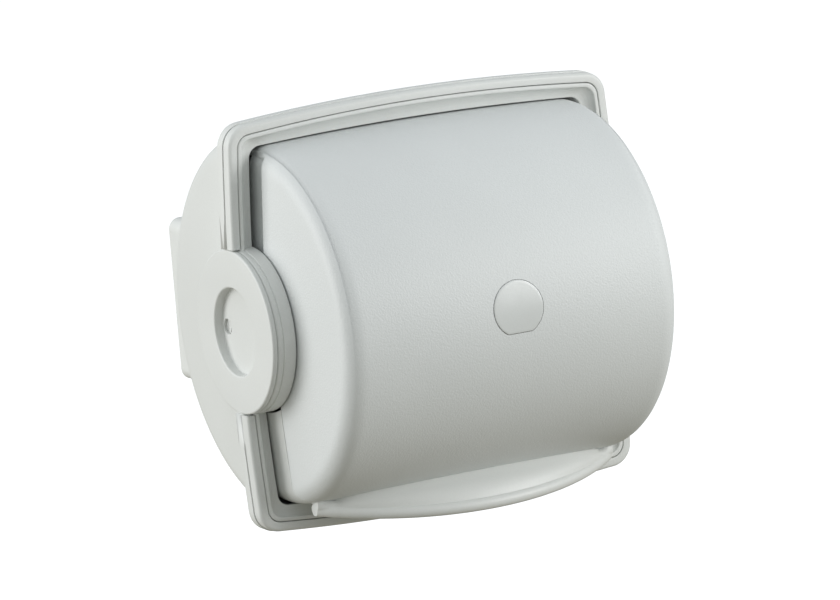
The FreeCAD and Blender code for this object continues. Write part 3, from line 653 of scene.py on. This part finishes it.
def lip_section(x, settings):
    """Closed outline of the crescent lip at x, as (y, z): from the crease on the drum, down a hollow
    slope to a rounded bead, round it, and back under to the drum. The bead's middle follows a circle
    through the lip's ends: its share of the reach is the circle's height over the chord."""
    reach, half_lip = 24.5 * MM, settings.lip_half
    nose_at_ends, nose_swell = np.array([-16.4, -67.9]) * MM, np.array([-23.3, -4.1]) * MM
    bead_start, bead_sweep, hollow = math.radians(48), math.radians(245), 0.1
    foot_drop, foot_sink, crease_sink = math.radians(9), 1.0 * MM, 1.1 * MM
    arc = (half_lip ** 2 + reach ** 2) / (2 * reach)
    swell = (np.sqrt(arc ** 2 - x ** 2) - (arc - reach)) / reach
    half = settings.side - settings.taper
    radius = settings.crown_radius - settings.crown * np.minimum((x / half) ** 2, 1)
    crease = crease_angle(radius, settings)
    nose = nose_at_ends + nose_swell * swell[:, None]
    nose_radius = (2.3 + 0.2 * swell) * MM
    start = np.stack([-radius * np.cos(crease), -radius * np.sin(crease)], axis=-1)
    top_angle = np.arctan2(start[:, 1] - nose[:, 1], start[:, 0] - nose[:, 0]) + bead_start
    turn = top_angle[:, None] + np.linspace(0, 1, 21) * bead_sweep
    nose_line = nose[:, None] + nose_radius[:, None, None] * np.stack([np.cos(turn), np.sin(turn)], axis=-1)
    t = np.linspace(0, 1, 15)[None, :-1, None]
    chord = nose_line[:, :1] - start[:, None]
    across = np.stack([-chord[..., 1], chord[..., 0]], axis=-1)
    slope = start[:, None] + chord * t - across * hollow * np.sin(math.pi * t ** 1.4)
    foot_angle = crease + foot_drop
    foot = np.stack([np.cos(foot_angle), np.sin(foot_angle)], axis=-1) * (foot_sink - radius)[:, None]
    under = nose_line[:, -1:] + (foot[:, None] - nose_line[:, -1:]) * np.linspace(0, 1, 9)[None, 1:, None]
    inner = start * ((radius - crease_sink) / radius)[:, None]
    return np.concatenate([slope, nose_line, under, inner[:, None]], axis=1)


def lower_lip_shells(settings):
    """The crescent, and the fixed strip of the drum between the cover and the tub, which runs back
    to 12 mm behind the axis."""
    strip_inner, strip_back = 31.7 * MM, -12.0 * MM
    x = np.linspace(-1, 1, 97) * settings.lip_half
    section = lip_section(x, settings)
    crescent = placed(np.broadcast_to(x[:, None], section.shape[:2]), section[..., 0], section[..., 1])
    line = drum_profile(settings, strip_inner, 1.8 * MM)
    inside = line - side_normals(line) * settings.wall
    skins = []
    for points in (line, inside):
        low = cover_limits(points[:, 0], points[:, 1], settings)[0]
        start = low - settings.gap / points[:, 1]
        back = -np.arccos(strip_back / points[:, 1])
        skins.append(swept_skin(points, back, start, 30))
    return [tube(crescent), wall(*skins)]


class HOLDER_OT_lower_lip(bpy.types.Operator):
    """Builds the fixed crescent lip and the strip that the cover closes on"""
    bl_idname = "roll_holder.lower_lip"
    bl_label = "Lower lip"

    def execute(self, context):
        made = piece("lower_lip_skin", lower_lip_shells(context.scene.roll_holder_cover))
        soften(made, 0.35 * MM, 2, 50)
        finish_piece(made, finish("shell"), "root", "frame_plastic", "lower_lip")
        return {"FINISHED"}


# ---------------------------------------------------------------- frame and trim
def arch(half_width, half_height, side_bow, top_bow, corner, foot):
    """Upper half of a bowed rectangle as (x, z): up the right side from height foot, over the top
    and down the left. A side is half_width + side_bow (1 - (z / half_height) squared), the top is the
    same with x, and each corner is an arc."""
    steep = np.array([2 * side_bow / half_height, -1.0])
    flat = np.array([-1.0, 2 * top_bow / half_width])
    steep /= np.linalg.norm(steep)
    flat /= np.linalg.norm(flat)
    bend = corner_arc(np.array([half_width, half_height]), steep, flat, corner, 15)
    z = np.linspace(foot, bend[0, 1], 22)[:-1]
    side = np.stack([half_width + side_bow * (1 - (z / half_height) ** 2), z], axis=1)
    x = np.linspace(bend[-1, 0], 0, 32)[1:]
    top = np.stack([x, half_height + top_bow * (1 - (x / half_width) ** 2)], axis=1)
    right = np.concatenate([side, bend, top])
    left = right[-2::-1] * [-1, 1]
    return np.concatenate([right, left])


def arch_shell(section, outlines, foot, above):
    """Carries a closed (inward, y) section round an arch. inward is how far a point lies inside the
    first outline, and the outline there is read between the given ones."""
    depths = np.array([entry[0] for entry in outlines])
    sizes = np.array([entry[1:] for entry in outlines])
    loops = []
    for inward, y in section:
        size = [np.interp(inward, depths, sizes[:, i]) for i in range(sizes.shape[1])]
        line = arch(*size, foot)
        loops.append(placed(line[:, 0], y, line[:, 1] * (1 if above else -1)))
    return tube(np.stack(loops, axis=1))


class HOLDER_OT_inner_frame(bpy.types.Operator):
    """Builds the inner frame with its narrow land, its cove and the collars round the hubs"""
    bl_idname = "roll_holder.inner_frame"
    bl_label = "Inner frame"

    def execute(self, context):
        settings = context.scene.roll_holder_frame
        hub = context.scene.roll_holder_hub
        land, opening, cove_depth, foot = 1.4 * MM, 6.0 * MM, 2.9 * MM, 30.0 * MM
        inset = settings.trim_width + settings.seam_gap
        width, height = settings.trim_half_width - inset, settings.trim_half_height - inset
        bow, top = settings.side_bow, settings.top_bow
        outlines = [(0.0, width, height, bow, top, 5.2 * MM),
                    (land, width - land, height - land, bow, top, 4.6 * MM),
                    (opening, 70.35 * MM, 67.35 * MM, 2.8 * MM, 2.2 * MM, 4.6 * MM)]
        front, back = settings.front, settings.back
        corners = [(0.0, back), (0.0, front, 0.5 * MM), (land, front, 0.5 * MM)]
        for share in (0.06, 0.2, 0.4, 0.62, 0.82):
            sunk = 0.35 * MM + cove_depth * math.sin(share * math.pi / 2) ** 0.75
            corners.append((1.5 * MM + 4.4 * MM * share, front + sunk, 0.5 * MM))
        corners += [(opening, front + 3.3 * MM, 0.4 * MM), (opening, back)]
        section = rounded(corners)
        shells = [arch_shell(section, outlines, foot, above) for above in (True, False)]
        shells += [collar_shell(sign, hub, back) for sign in (-1, 1)]
        made = piece("inner_frame_skin", shells)
        finish_piece(made, finish("shell"), "root", "frame_plastic", "inner_frame")
        return {"FINISHED"}


def collar_shell(sign, hub, back):
    """The half ring round the front of a hub: a rounded shoulder beside the cap, a shallow groove,
    and a plain band towards the cover. It is a closed (x, radius) section turned about the axis."""
    outer, inner, bore, r = 79.9 * MM, 72.4 * MM, 29.3 * MM, hub.collar
    loop = rounded_loop([(outer, bore), (outer, r - 0.1 * MM, 0.9 * MM), (77.9 * MM, r - 0.1 * MM, 0.3 * MM),
                         (77.6 * MM, r - 0.55 * MM, 0.2 * MM), (77.2 * MM, r, 0.3 * MM),
                         (inner, r, 0.5 * MM), (inner, bore, 0.2 * MM)])
    limit = math.acos(-back / r)
    angle = np.linspace(-limit, limit, 97)[:, None]
    x = np.broadcast_to(sign * loop[:, 0], (len(angle), len(loop)))
    return tube(placed(x, -loop[:, 1] * np.cos(angle), loop[:, 1] * np.sin(angle)))


class HOLDER_OT_trims(bpy.types.Operator):
    """Builds the upper and lower snap-on trims"""
    bl_idname = "roll_holder.trims"
    bl_label = "Trims"

    def execute(self, context):
        settings = context.scene.roll_holder_frame
        hub = context.scene.roll_holder_hub
        width, height, depth = settings.trim_half_width, settings.trim_half_height, settings.trim_width
        bow, top = settings.side_bow, settings.top_bow
        outlines = [(0.0, width, height, bow, top, 8.6 * MM),
                    (depth, width - depth, height - depth, bow, top, 5.5 * MM)]
        section = rounded_loop([(0.0, settings.back, 0.2 * MM), (0.0, settings.front, settings.trim_soft),
                                (depth, settings.front, 0.35 * MM), (depth, settings.back, 0.2 * MM)])
        hub_gap = 0.3 * MM
        foot = hub.radius + hub_gap
        for name, above in (("upper_trim", True), ("lower_trim", False)):
            made = piece(name + "_skin", [arch_shell(section, outlines, foot, above)])
            finish_piece(made, finish("shell"), "root", "frame_plastic", name)
        return {"FINISHED"}


# ---------------------------------------------------------------- housing and bracket
class HOLDER_OT_housing(bpy.types.Operator):
    """Shades the tub behind the wall, with its flange and ears"""
    bl_idname = "roll_holder.housing"
    bl_label = "Housing"

    def execute(self, context):
        made = cad_copy("rear_housing_skin", "rear_housing")
        finish_piece(made, finish("shell"), "root", "housing_plastic", "rear_housing")
        return {"FINISHED"}


class HOLDER_OT_bracket(bpy.types.Operator):
    """Shades the wall bracket behind the tub"""
    bl_idname = "roll_holder.bracket"
    bl_label = "Wall bracket"

    def execute(self, context):
        made = cad_copy("wall_bracket_skin", "wall_bracket")
        finish_piece(made, finish("shell"), "root", "housing_plastic", "wall_bracket")
        return {"FINISHED"}


# ---------------------------------------------------------------- hubs
def ring_loop(x, radius, count, centre=0.0):
    """One loop of points round an axis parallel to X, centre behind the hinge axis."""
    angle = np.linspace(0, 2 * math.pi, count, endpoint=False)
    return placed(x, centre - radius * np.cos(angle), radius * np.sin(angle))


def hub_cap_shells(settings, sign):
    """The cap: loops from the peg hole out over the dish floor, up its wall, over the rim and back
    under to the cup. Between the hole and the dish the loops pass evenly from one circle to the
    other. The journal is a second shell set into the cup's floor, with a groove for the drag ring
    and a socket for the spindle's pin."""
    count, cup_wall, dish_corner = 192, 2.0 * MM, 0.6 * MM
    face, dish, floor = settings.face, settings.dish_radius, settings.face - settings.dish_depth
    under, cup, behind = settings.face - settings.rim, settings.dish_radius + cup_wall, floor - cup_wall
    cup_inside = cup - 1.0 * MM

    def spread(x, outside, soft):
        """Loops between the peg hole and a circle of radius outside; soft insets the first."""
        hole = settings.peg_hole
        loops = []
        for share in (0.0, 0.02, 0.06, 0.2, 0.4, 0.6, 0.8, 1.0):
            inset = soft if share == 0.0 else 0.0
            radius = hole + (outside - hole) * share
            loops.append(ring_loop(sign * (x - inset), radius, count, settings.peg_offset * (1 - share)))
        return loops

    edge = rounded([(floor, dish - dish_corner), (floor, dish, 0.5 * MM), (face, dish, 0.7 * MM),
                    (face - 0.05 * MM, (dish + settings.radius) / 2, 0), (face, settings.radius, 0.75 * MM),
                    (under, settings.radius, 0.15 * MM), (under, cup, 0.3 * MM), (behind, cup, 0.5 * MM),
                    (behind, cup_inside)])
    loops = spread(floor, dish - dish_corner, 0.3 * MM)
    loops += [ring_loop(sign * x, radius, count) for x, radius in edge[1:-1]]
    loops += reversed(spread(behind, cup_inside, 0.0))

    end, r, socket = low_of("right_hub_cap", 0), settings.journal, 4.28 * MM
    groove_near, groove_far, groove = end + 2 * MM, end + 4 * MM, r - 1.2 * MM
    root, socket_end = behind + 0.5 * MM, end + 8 * MM
    journal = rounded([(root, 0.0), (root, r), (groove_far, r), (groove_far, groove), (groove_near, groove),
                       (groove_near, r), (end, r, 0.4 * MM), (end, socket, 0.3 * MM),
                       (socket_end, socket), (socket_end, 0.0)])
    journal[:, 0] *= sign
    return [tube(np.stack(loops), closed=True), lathe(journal, 96)]


class HOLDER_OT_hub_caps(bpy.types.Operator):
    """Builds the two dished hub caps with their journals"""
    bl_idname = "roll_holder.hub_caps"
    bl_label = "Hub caps"

    def execute(self, context):
        settings = context.scene.roll_holder_hub
        for name, sign in (("left_hub_cap", -1), ("right_hub_cap", 1)):
            made = piece(name + "_skin", hub_cap_shells(settings, sign))
            finish_piece(made, finish("shell"), "root", "cap_plastic", name)
        return {"FINISHED"}


class HOLDER_OT_pivots(bpy.types.Operator):
    """Builds the pivot bushes and the drag rings"""
    bl_idname = "roll_holder.pivots"
    bl_label = "Pivots"

    def execute(self, context):
        running_gap, ring_radius = 0.08 * MM, 7.88 * MM
        bore = context.scene.roll_holder_hub.journal + running_gap
        for side in ("left", "right"):
            node = side + "_pivot_bush"
            start, stop, outer = low_of(node, 0), top_of(node, 0), top_of(node, 2)
            loop = rounded_loop([(start, bore, 0.2 * MM), (stop, bore, 0.2 * MM), (stop, outer, 0.2 * MM),
                                 (start, outer, 0.2 * MM)])
            made = piece(node + "_skin", [lathe(loop, 96, True)])
            finish_piece(made, finish("acetal"), "cover", "bush_plastic", node)
            node = side + "_drag_ring"
            middle, thick = (low_of(node, 0) + top_of(node, 0)) / 2, (top_of(node, 0) - low_of(node, 0)) / 2
            angle = np.linspace(0, 2 * math.pi, 24, endpoint=False)
            loop = np.stack([middle + thick * np.cos(angle), ring_radius + thick * np.sin(angle)], axis=1)
            made = piece(node + "_skin", [lathe(loop, 96, True)])
            finish_piece(made, finish("rubber"), "root", "ring_rubber", node)
        return {"FINISHED"}


# ---------------------------------------------------------------- spindle
class HOLDER_OT_spindle(bpy.types.Operator):
    """Builds the two halves of the sprung spindle and its spring"""
    bl_idname = "roll_holder.spindle"
    bl_label = "Spindle"

    def execute(self, context):
        sleeve, plunger = "spindle_sleeve", "spindle_plunger"
        tip, stop, outer = -low_of(sleeve, 0), top_of(sleeve, 0), top_of(sleeve, 2)
        pin, shoulder, bore = 4.2 * MM, 63.4 * MM, outer - 1.5 * MM
        waist, sleeve_floor = outer - 0.5 * MM, -58 * MM
        line = rounded([(-tip, 0.0), (-tip, pin, 1.2 * MM), (-shoulder, pin, 0.4 * MM),
                        (-shoulder, outer, 0.8 * MM), (-12 * MM, outer, 0.3 * MM),
                        (-11 * MM, waist, 0.3 * MM), (10 * MM, waist, 0.3 * MM), (11 * MM, outer, 0.3 * MM),
                        (stop, outer, 0.4 * MM), (stop, bore, 0.3 * MM), (sleeve_floor, bore),
                        (sleeve_floor, 0.0)])
        made = piece("spindle_sleeve_skin", [lathe(line, 96)])
        finish_piece(made, finish("spindle"), "spindle", "spindle_plastic", sleeve)

        slim, start, plunger_bore, plunger_floor = top_of(plunger, 2), low_of(plunger, 0), 6.9 * MM, 50 * MM
        line = rounded([(tip, 0.0), (tip, pin, 1.2 * MM), (shoulder, pin, 0.4 * MM),
                        (shoulder, slim, 0.8 * MM), (start, slim, 0.3 * MM), (start, plunger_bore, 0.2 * MM),
                        (plunger_floor, plunger_bore), (plunger_floor, 0.0)])
        made = piece("spindle_plunger_skin", [lathe(line, 96)])
        finish_piece(made, finish("spindle"), "plunger", "spindle_plastic", plunger)

        # the spring is pressed together as the plunger slides in; here it is attached to neither half
        spring_start, spring_end = -57 * MM, 49 * MM
        made = piece("spindle_spring_skin",
                     [spring_shell(spring_start, spring_end - spring_start, 14, 5.2 * MM, 0.6 * MM)])
        made.data.materials.append(finish("spring"))
        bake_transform(made)
        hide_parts("spindle_spring")
        return {"FINISHED"}


def spring_shell(start, span, turns, radius, wire):
    """A wire of circular section carried along a helix about X: the section's two directions are
    the helix's radius and the normal to both the radius and the helix's own direction."""
    angle = np.linspace(0, 2 * math.pi * turns, 28 * turns + 1)
    pitch = span / (2 * math.pi * turns)
    centre = np.stack([start + pitch * angle, -radius * np.cos(angle), radius * np.sin(angle)], axis=1)
    out = np.stack([np.zeros_like(angle), -np.cos(angle), np.sin(angle)], axis=1)
    along = np.stack([np.full_like(angle, pitch), radius * np.sin(angle), radius * np.cos(angle)], axis=1)
    along /= np.linalg.norm(along, axis=1, keepdims=True)
    across = np.cross(along, out)
    turn = np.linspace(0, 2 * math.pi, 10, endpoint=False)[None, :, None]
    points = centre[:, None] + wire * (np.cos(turn) * out[:, None] + np.sin(turn) * across[:, None])
    return tube(points + [0, HUB_Y, 0])


# ---------------------------------------------------------------- screws
def screw_shell(head, head_height, shank, shank_length):
    """A pan-head screw along its own axis, head first, as (along, a, b) points. The dome is a quarter
    ellipse of the radius; the cross recess is sunk where a point lies in either of two arms."""
    rings = np.concatenate([np.linspace(0, 0.96, 22), [1.0]])
    angle = np.linspace(0, 2 * math.pi, 72, endpoint=False)
    a, b = rings[:, None] * head * np.cos(angle), rings[:, None] * head * np.sin(angle)
    dome = head_height * (0.45 + 0.55 * np.sqrt(1 - np.minimum(rings, 1)[:, None] ** 2)) * np.ones_like(a)
    arm, reach, soft = 0.17 * head, 0.6 * head, 0.05 * head

    def within(limit, distance):
        """1 inside the limit and 0 outside it, with a soft side between them."""
        return smooth_step(-soft, soft, limit - np.abs(distance))

    cross = np.maximum(within(arm, a) * within(reach, b), within(arm, b) * within(reach, a))
    face = np.stack([dome - 0.55 * head_height * cross, a, b], axis=-1)
    below = np.array([(0.0, head), (0.0, shank), (shank - shank_length, shank),
                      (-shank_length, 0.25 * shank)])
    rest = np.stack([np.broadcast_to(below[:, :1], (len(below), len(angle))), below[:, 1:] * np.cos(angle),
                     below[:, 1:] * np.sin(angle)], axis=-1)
    return np.concatenate([face, rest])


def screw_on(axis, sign, place, local):
    """Turns a screw's own points so that its head looks along sign times axis, and moves its seat
    to place, which is counted from the hinge axis."""
    along, a, b = local[..., 0] * sign, local[..., 1], local[..., 2]
    order = {0: (along, a, b), 1: (a, along, b), 2: (a, b, along)}[axis]
    return tube(placed(*[part + offset for part, offset in zip(order, place)]))


class HOLDER_OT_screws(bpy.types.Operator):
    """Builds the cap, bracket and lip screws"""
    bl_idname = "roll_holder.screws"
    bl_label = "Screws"

    def execute(self, context):
        head, head_height, shank = 2.9 * MM, 1.8 * MM, 1.45 * MM
        cap_seat, circle = 74.9 * MM, top_of("right_cap_screws", 2) - head
        cap_screw = screw_shell(head, head_height, shank, 5.5 * MM)
        for side, sign in (("left", -1), ("right", 1)):
            shells = []
            for angle in np.radians([90, 210, 330]):
                place = (sign * cap_seat, circle * math.cos(angle), circle * math.sin(angle))
                shells.append(screw_on(0, -sign, place, cap_screw))
            made = piece(side + "_cap_screws_skin", shells)
            finish_piece(made, finish("screw"), "root", "screw_steel", side + "_cap_screws")

        bracket_screw = screw_shell(head, head_height, shank, 8.0 * MM)
        bracket_seat = low_of("bracket_screws", 1) + head_height
        shells = [screw_on(1, -1, (x, bracket_seat, 0.0), bracket_screw) for x in (-25 * MM, 25 * MM)]
        made = piece("bracket_screws_skin", shells)
        finish_piece(made, finish("screw"), "root", "screw_steel", "bracket_screws")

        lip_screw = screw_shell(head, head_height, shank, 6.5 * MM)
        lip_seat = top_of("lip_screws", 2) - head_height
        shells = [screw_on(2, 1, (x, 7.0 * MM, lip_seat), lip_screw) for x in (-45 * MM, 45 * MM)]
        made = piece("lip_screws_skin", shells)
        finish_piece(made, finish("screw"), "root", "screw_steel", "lip_screws")
        return {"FINISHED"}


# ---------------------------------------------------------------- stage
def area_light(name, place, target, size, power):
    """A square white softbox of that size in metres and power in watts, turned to its target."""
    light = bpy.data.lights.new(name, "AREA")
    light.shape = "RECTANGLE"
    light.size = light.size_y = size
    light.energy = power
    made = bpy.data.objects.new(name, light)
    made.location = place
    made.rotation_euler = (Vector(target) - Vector(place)).to_track_quat("-Z", "Y").to_euler()
    bpy.context.scene.collection.objects.link(made)


def studio_world():
    """Soft white light from above the horizon, and dimmer, warmer light from below it."""
    world = bpy.data.worlds.new("Studio")
    world.use_nodes = True
    tree = world.node_tree
    direction = add_node(tree, "ShaderNodeTexCoord").outputs["Generated"]
    height = add_node(tree, "ShaderNodeSeparateXYZ", {"Vector": direction}).outputs["Z"]
    above = add_node(tree, "ShaderNodeMapRange", {"Value": height, "From Min": -0.45, "From Max": 0.25})
    sky = mix_colours(tree, above.outputs[0], linear("8C897C"), linear("C2C6C8"))
    tree.links.new(sky, tree.nodes["Background"].inputs["Color"])
    return world


class HOLDER_OT_stage(bpy.types.Operator):
    """Adds the floor, the lights and the camera"""
    bl_idname = "roll_holder.stage"
    bl_label = "Stage"

    def execute(self, context):
        scene, settings = context.scene, context.scene.roll_holder_stage
        scene.view_settings.view_transform = "Standard"
        half, low = 6.0, -settings.floor_drop
        mesh = bpy.data.meshes.new("floor")
        mesh.from_pydata([(-half, -half, low), (half, -half, low), (half, half, low), (-half, half, low)],
                         [], [(0, 1, 2, 3)])
        mesh.materials.append(finish("floor"))
        floor = bpy.data.objects.new("floor", mesh)
        scene.collection.objects.link(floor)
        floor.visible_diffuse = floor.visible_glossy = False

        scene.world = studio_world()
        area_light("side_softbox", (-1.5, 0.55, 0.3), (0.0, HUB_Y, 0.0), 1.2, 19)
        area_light("front_softbox", (0.75, -0.95, 0.28), (0.03, -0.12, 0.0), 0.5, 7.2)
        overhead = bpy.data.lights.new("overhead", "SUN")
        overhead.energy, overhead.angle = 0.2, math.radians(70)
        overhead.color = linear("F6FAFF")[:3]
        lamp = bpy.data.objects.new("overhead", overhead)
        lamp.rotation_euler = (math.radians(8), math.radians(-10), 0)
        scene.collection.objects.link(lamp)

        turn, rise, roll = settings.turn, settings.rise, settings.roll
        back = Vector((-math.sin(turn) * math.cos(rise), -math.cos(turn) * math.cos(rise), math.sin(rise)))
        right = (-back).cross(Vector((0, 0, 1))).normalized()
        up = right.cross(-back)
        across = math.cos(roll) * right + math.sin(roll) * up
        upright = -math.sin(roll) * right + math.cos(roll) * up
        aim = Vector((0.0, HUB_Y + context.scene.roll_holder_frame.front, 0.0))
        place = aim + back * settings.distance + across * settings.aside
        camera = bpy.data.cameras.new("camera")
        camera.sensor_width = 36.0
        camera.lens = settings.lens
        camera.clip_end = 50.0
        made = bpy.data.objects.new("camera", camera)
        axes = Matrix((across, upright, back)).transposed()
        made.matrix_world = Matrix.Translation(place) @ axes.to_4x4()
        scene.collection.objects.link(made)
        scene.camera = made
        return {"FINISHED"}


# ---------------------------------------------------------------- panel and registration
SETTINGS = {
    "roll_holder_cover": CoverSettings,
    "roll_holder_frame": FrameSettings,
    "roll_holder_hub": HubSettings,
    "roll_holder_finish": FinishSettings,
    "roll_holder_stage": StageSettings,
}
OPERATORS = (HOLDER_OT_stage, HOLDER_OT_cover, HOLDER_OT_badge, HOLDER_OT_lower_lip, HOLDER_OT_inner_frame,
             HOLDER_OT_trims, HOLDER_OT_housing, HOLDER_OT_bracket, HOLDER_OT_hub_caps, HOLDER_OT_pivots,
             HOLDER_OT_spindle, HOLDER_OT_screws)


class HOLDER_PT_panel(bpy.types.Panel):
    """Lists the steps that build the holder"""
    bl_label = "Roll Holder"
    bl_idname = "HOLDER_PT_panel"
    bl_space_type = "VIEW_3D"
    bl_region_type = "UI"
    bl_category = "Roll Holder"

    def draw(self, context):
        for operator in OPERATORS:
            self.layout.operator(operator.bl_idname)
        for name, group in SETTINGS.items():
            box = self.layout.box()
            box.label(text=group.__doc__)
            for field in group.__annotations__:
                box.prop(getattr(context.scene, name), field)


def register():
    """Registers the settings, the operators and the panel."""
    for group in SETTINGS.values():
        bpy.utils.register_class(group)
    for name, group in SETTINGS.items():
        setattr(bpy.types.Scene, name, bpy.props.PointerProperty(type=group))
    for operator in OPERATORS:
        bpy.utils.register_class(operator)
    bpy.utils.register_class(HOLDER_PT_panel)


def unregister():
    """Takes the panel, the operators and the settings away again."""
    bpy.utils.unregister_class(HOLDER_PT_panel)
    for operator in reversed(OPERATORS):
        bpy.utils.unregister_class(operator)
    for name, group in SETTINGS.items():
        delattr(bpy.types.Scene, name)
        bpy.utils.unregister_class(group)


def main():
    """Builds every piece and the stage."""
    register()
    for operator in OPERATORS:
        group, name = operator.bl_idname.split(".")
        getattr(getattr(bpy.ops, group), name)()


if __name__ == "__main__":
    main()
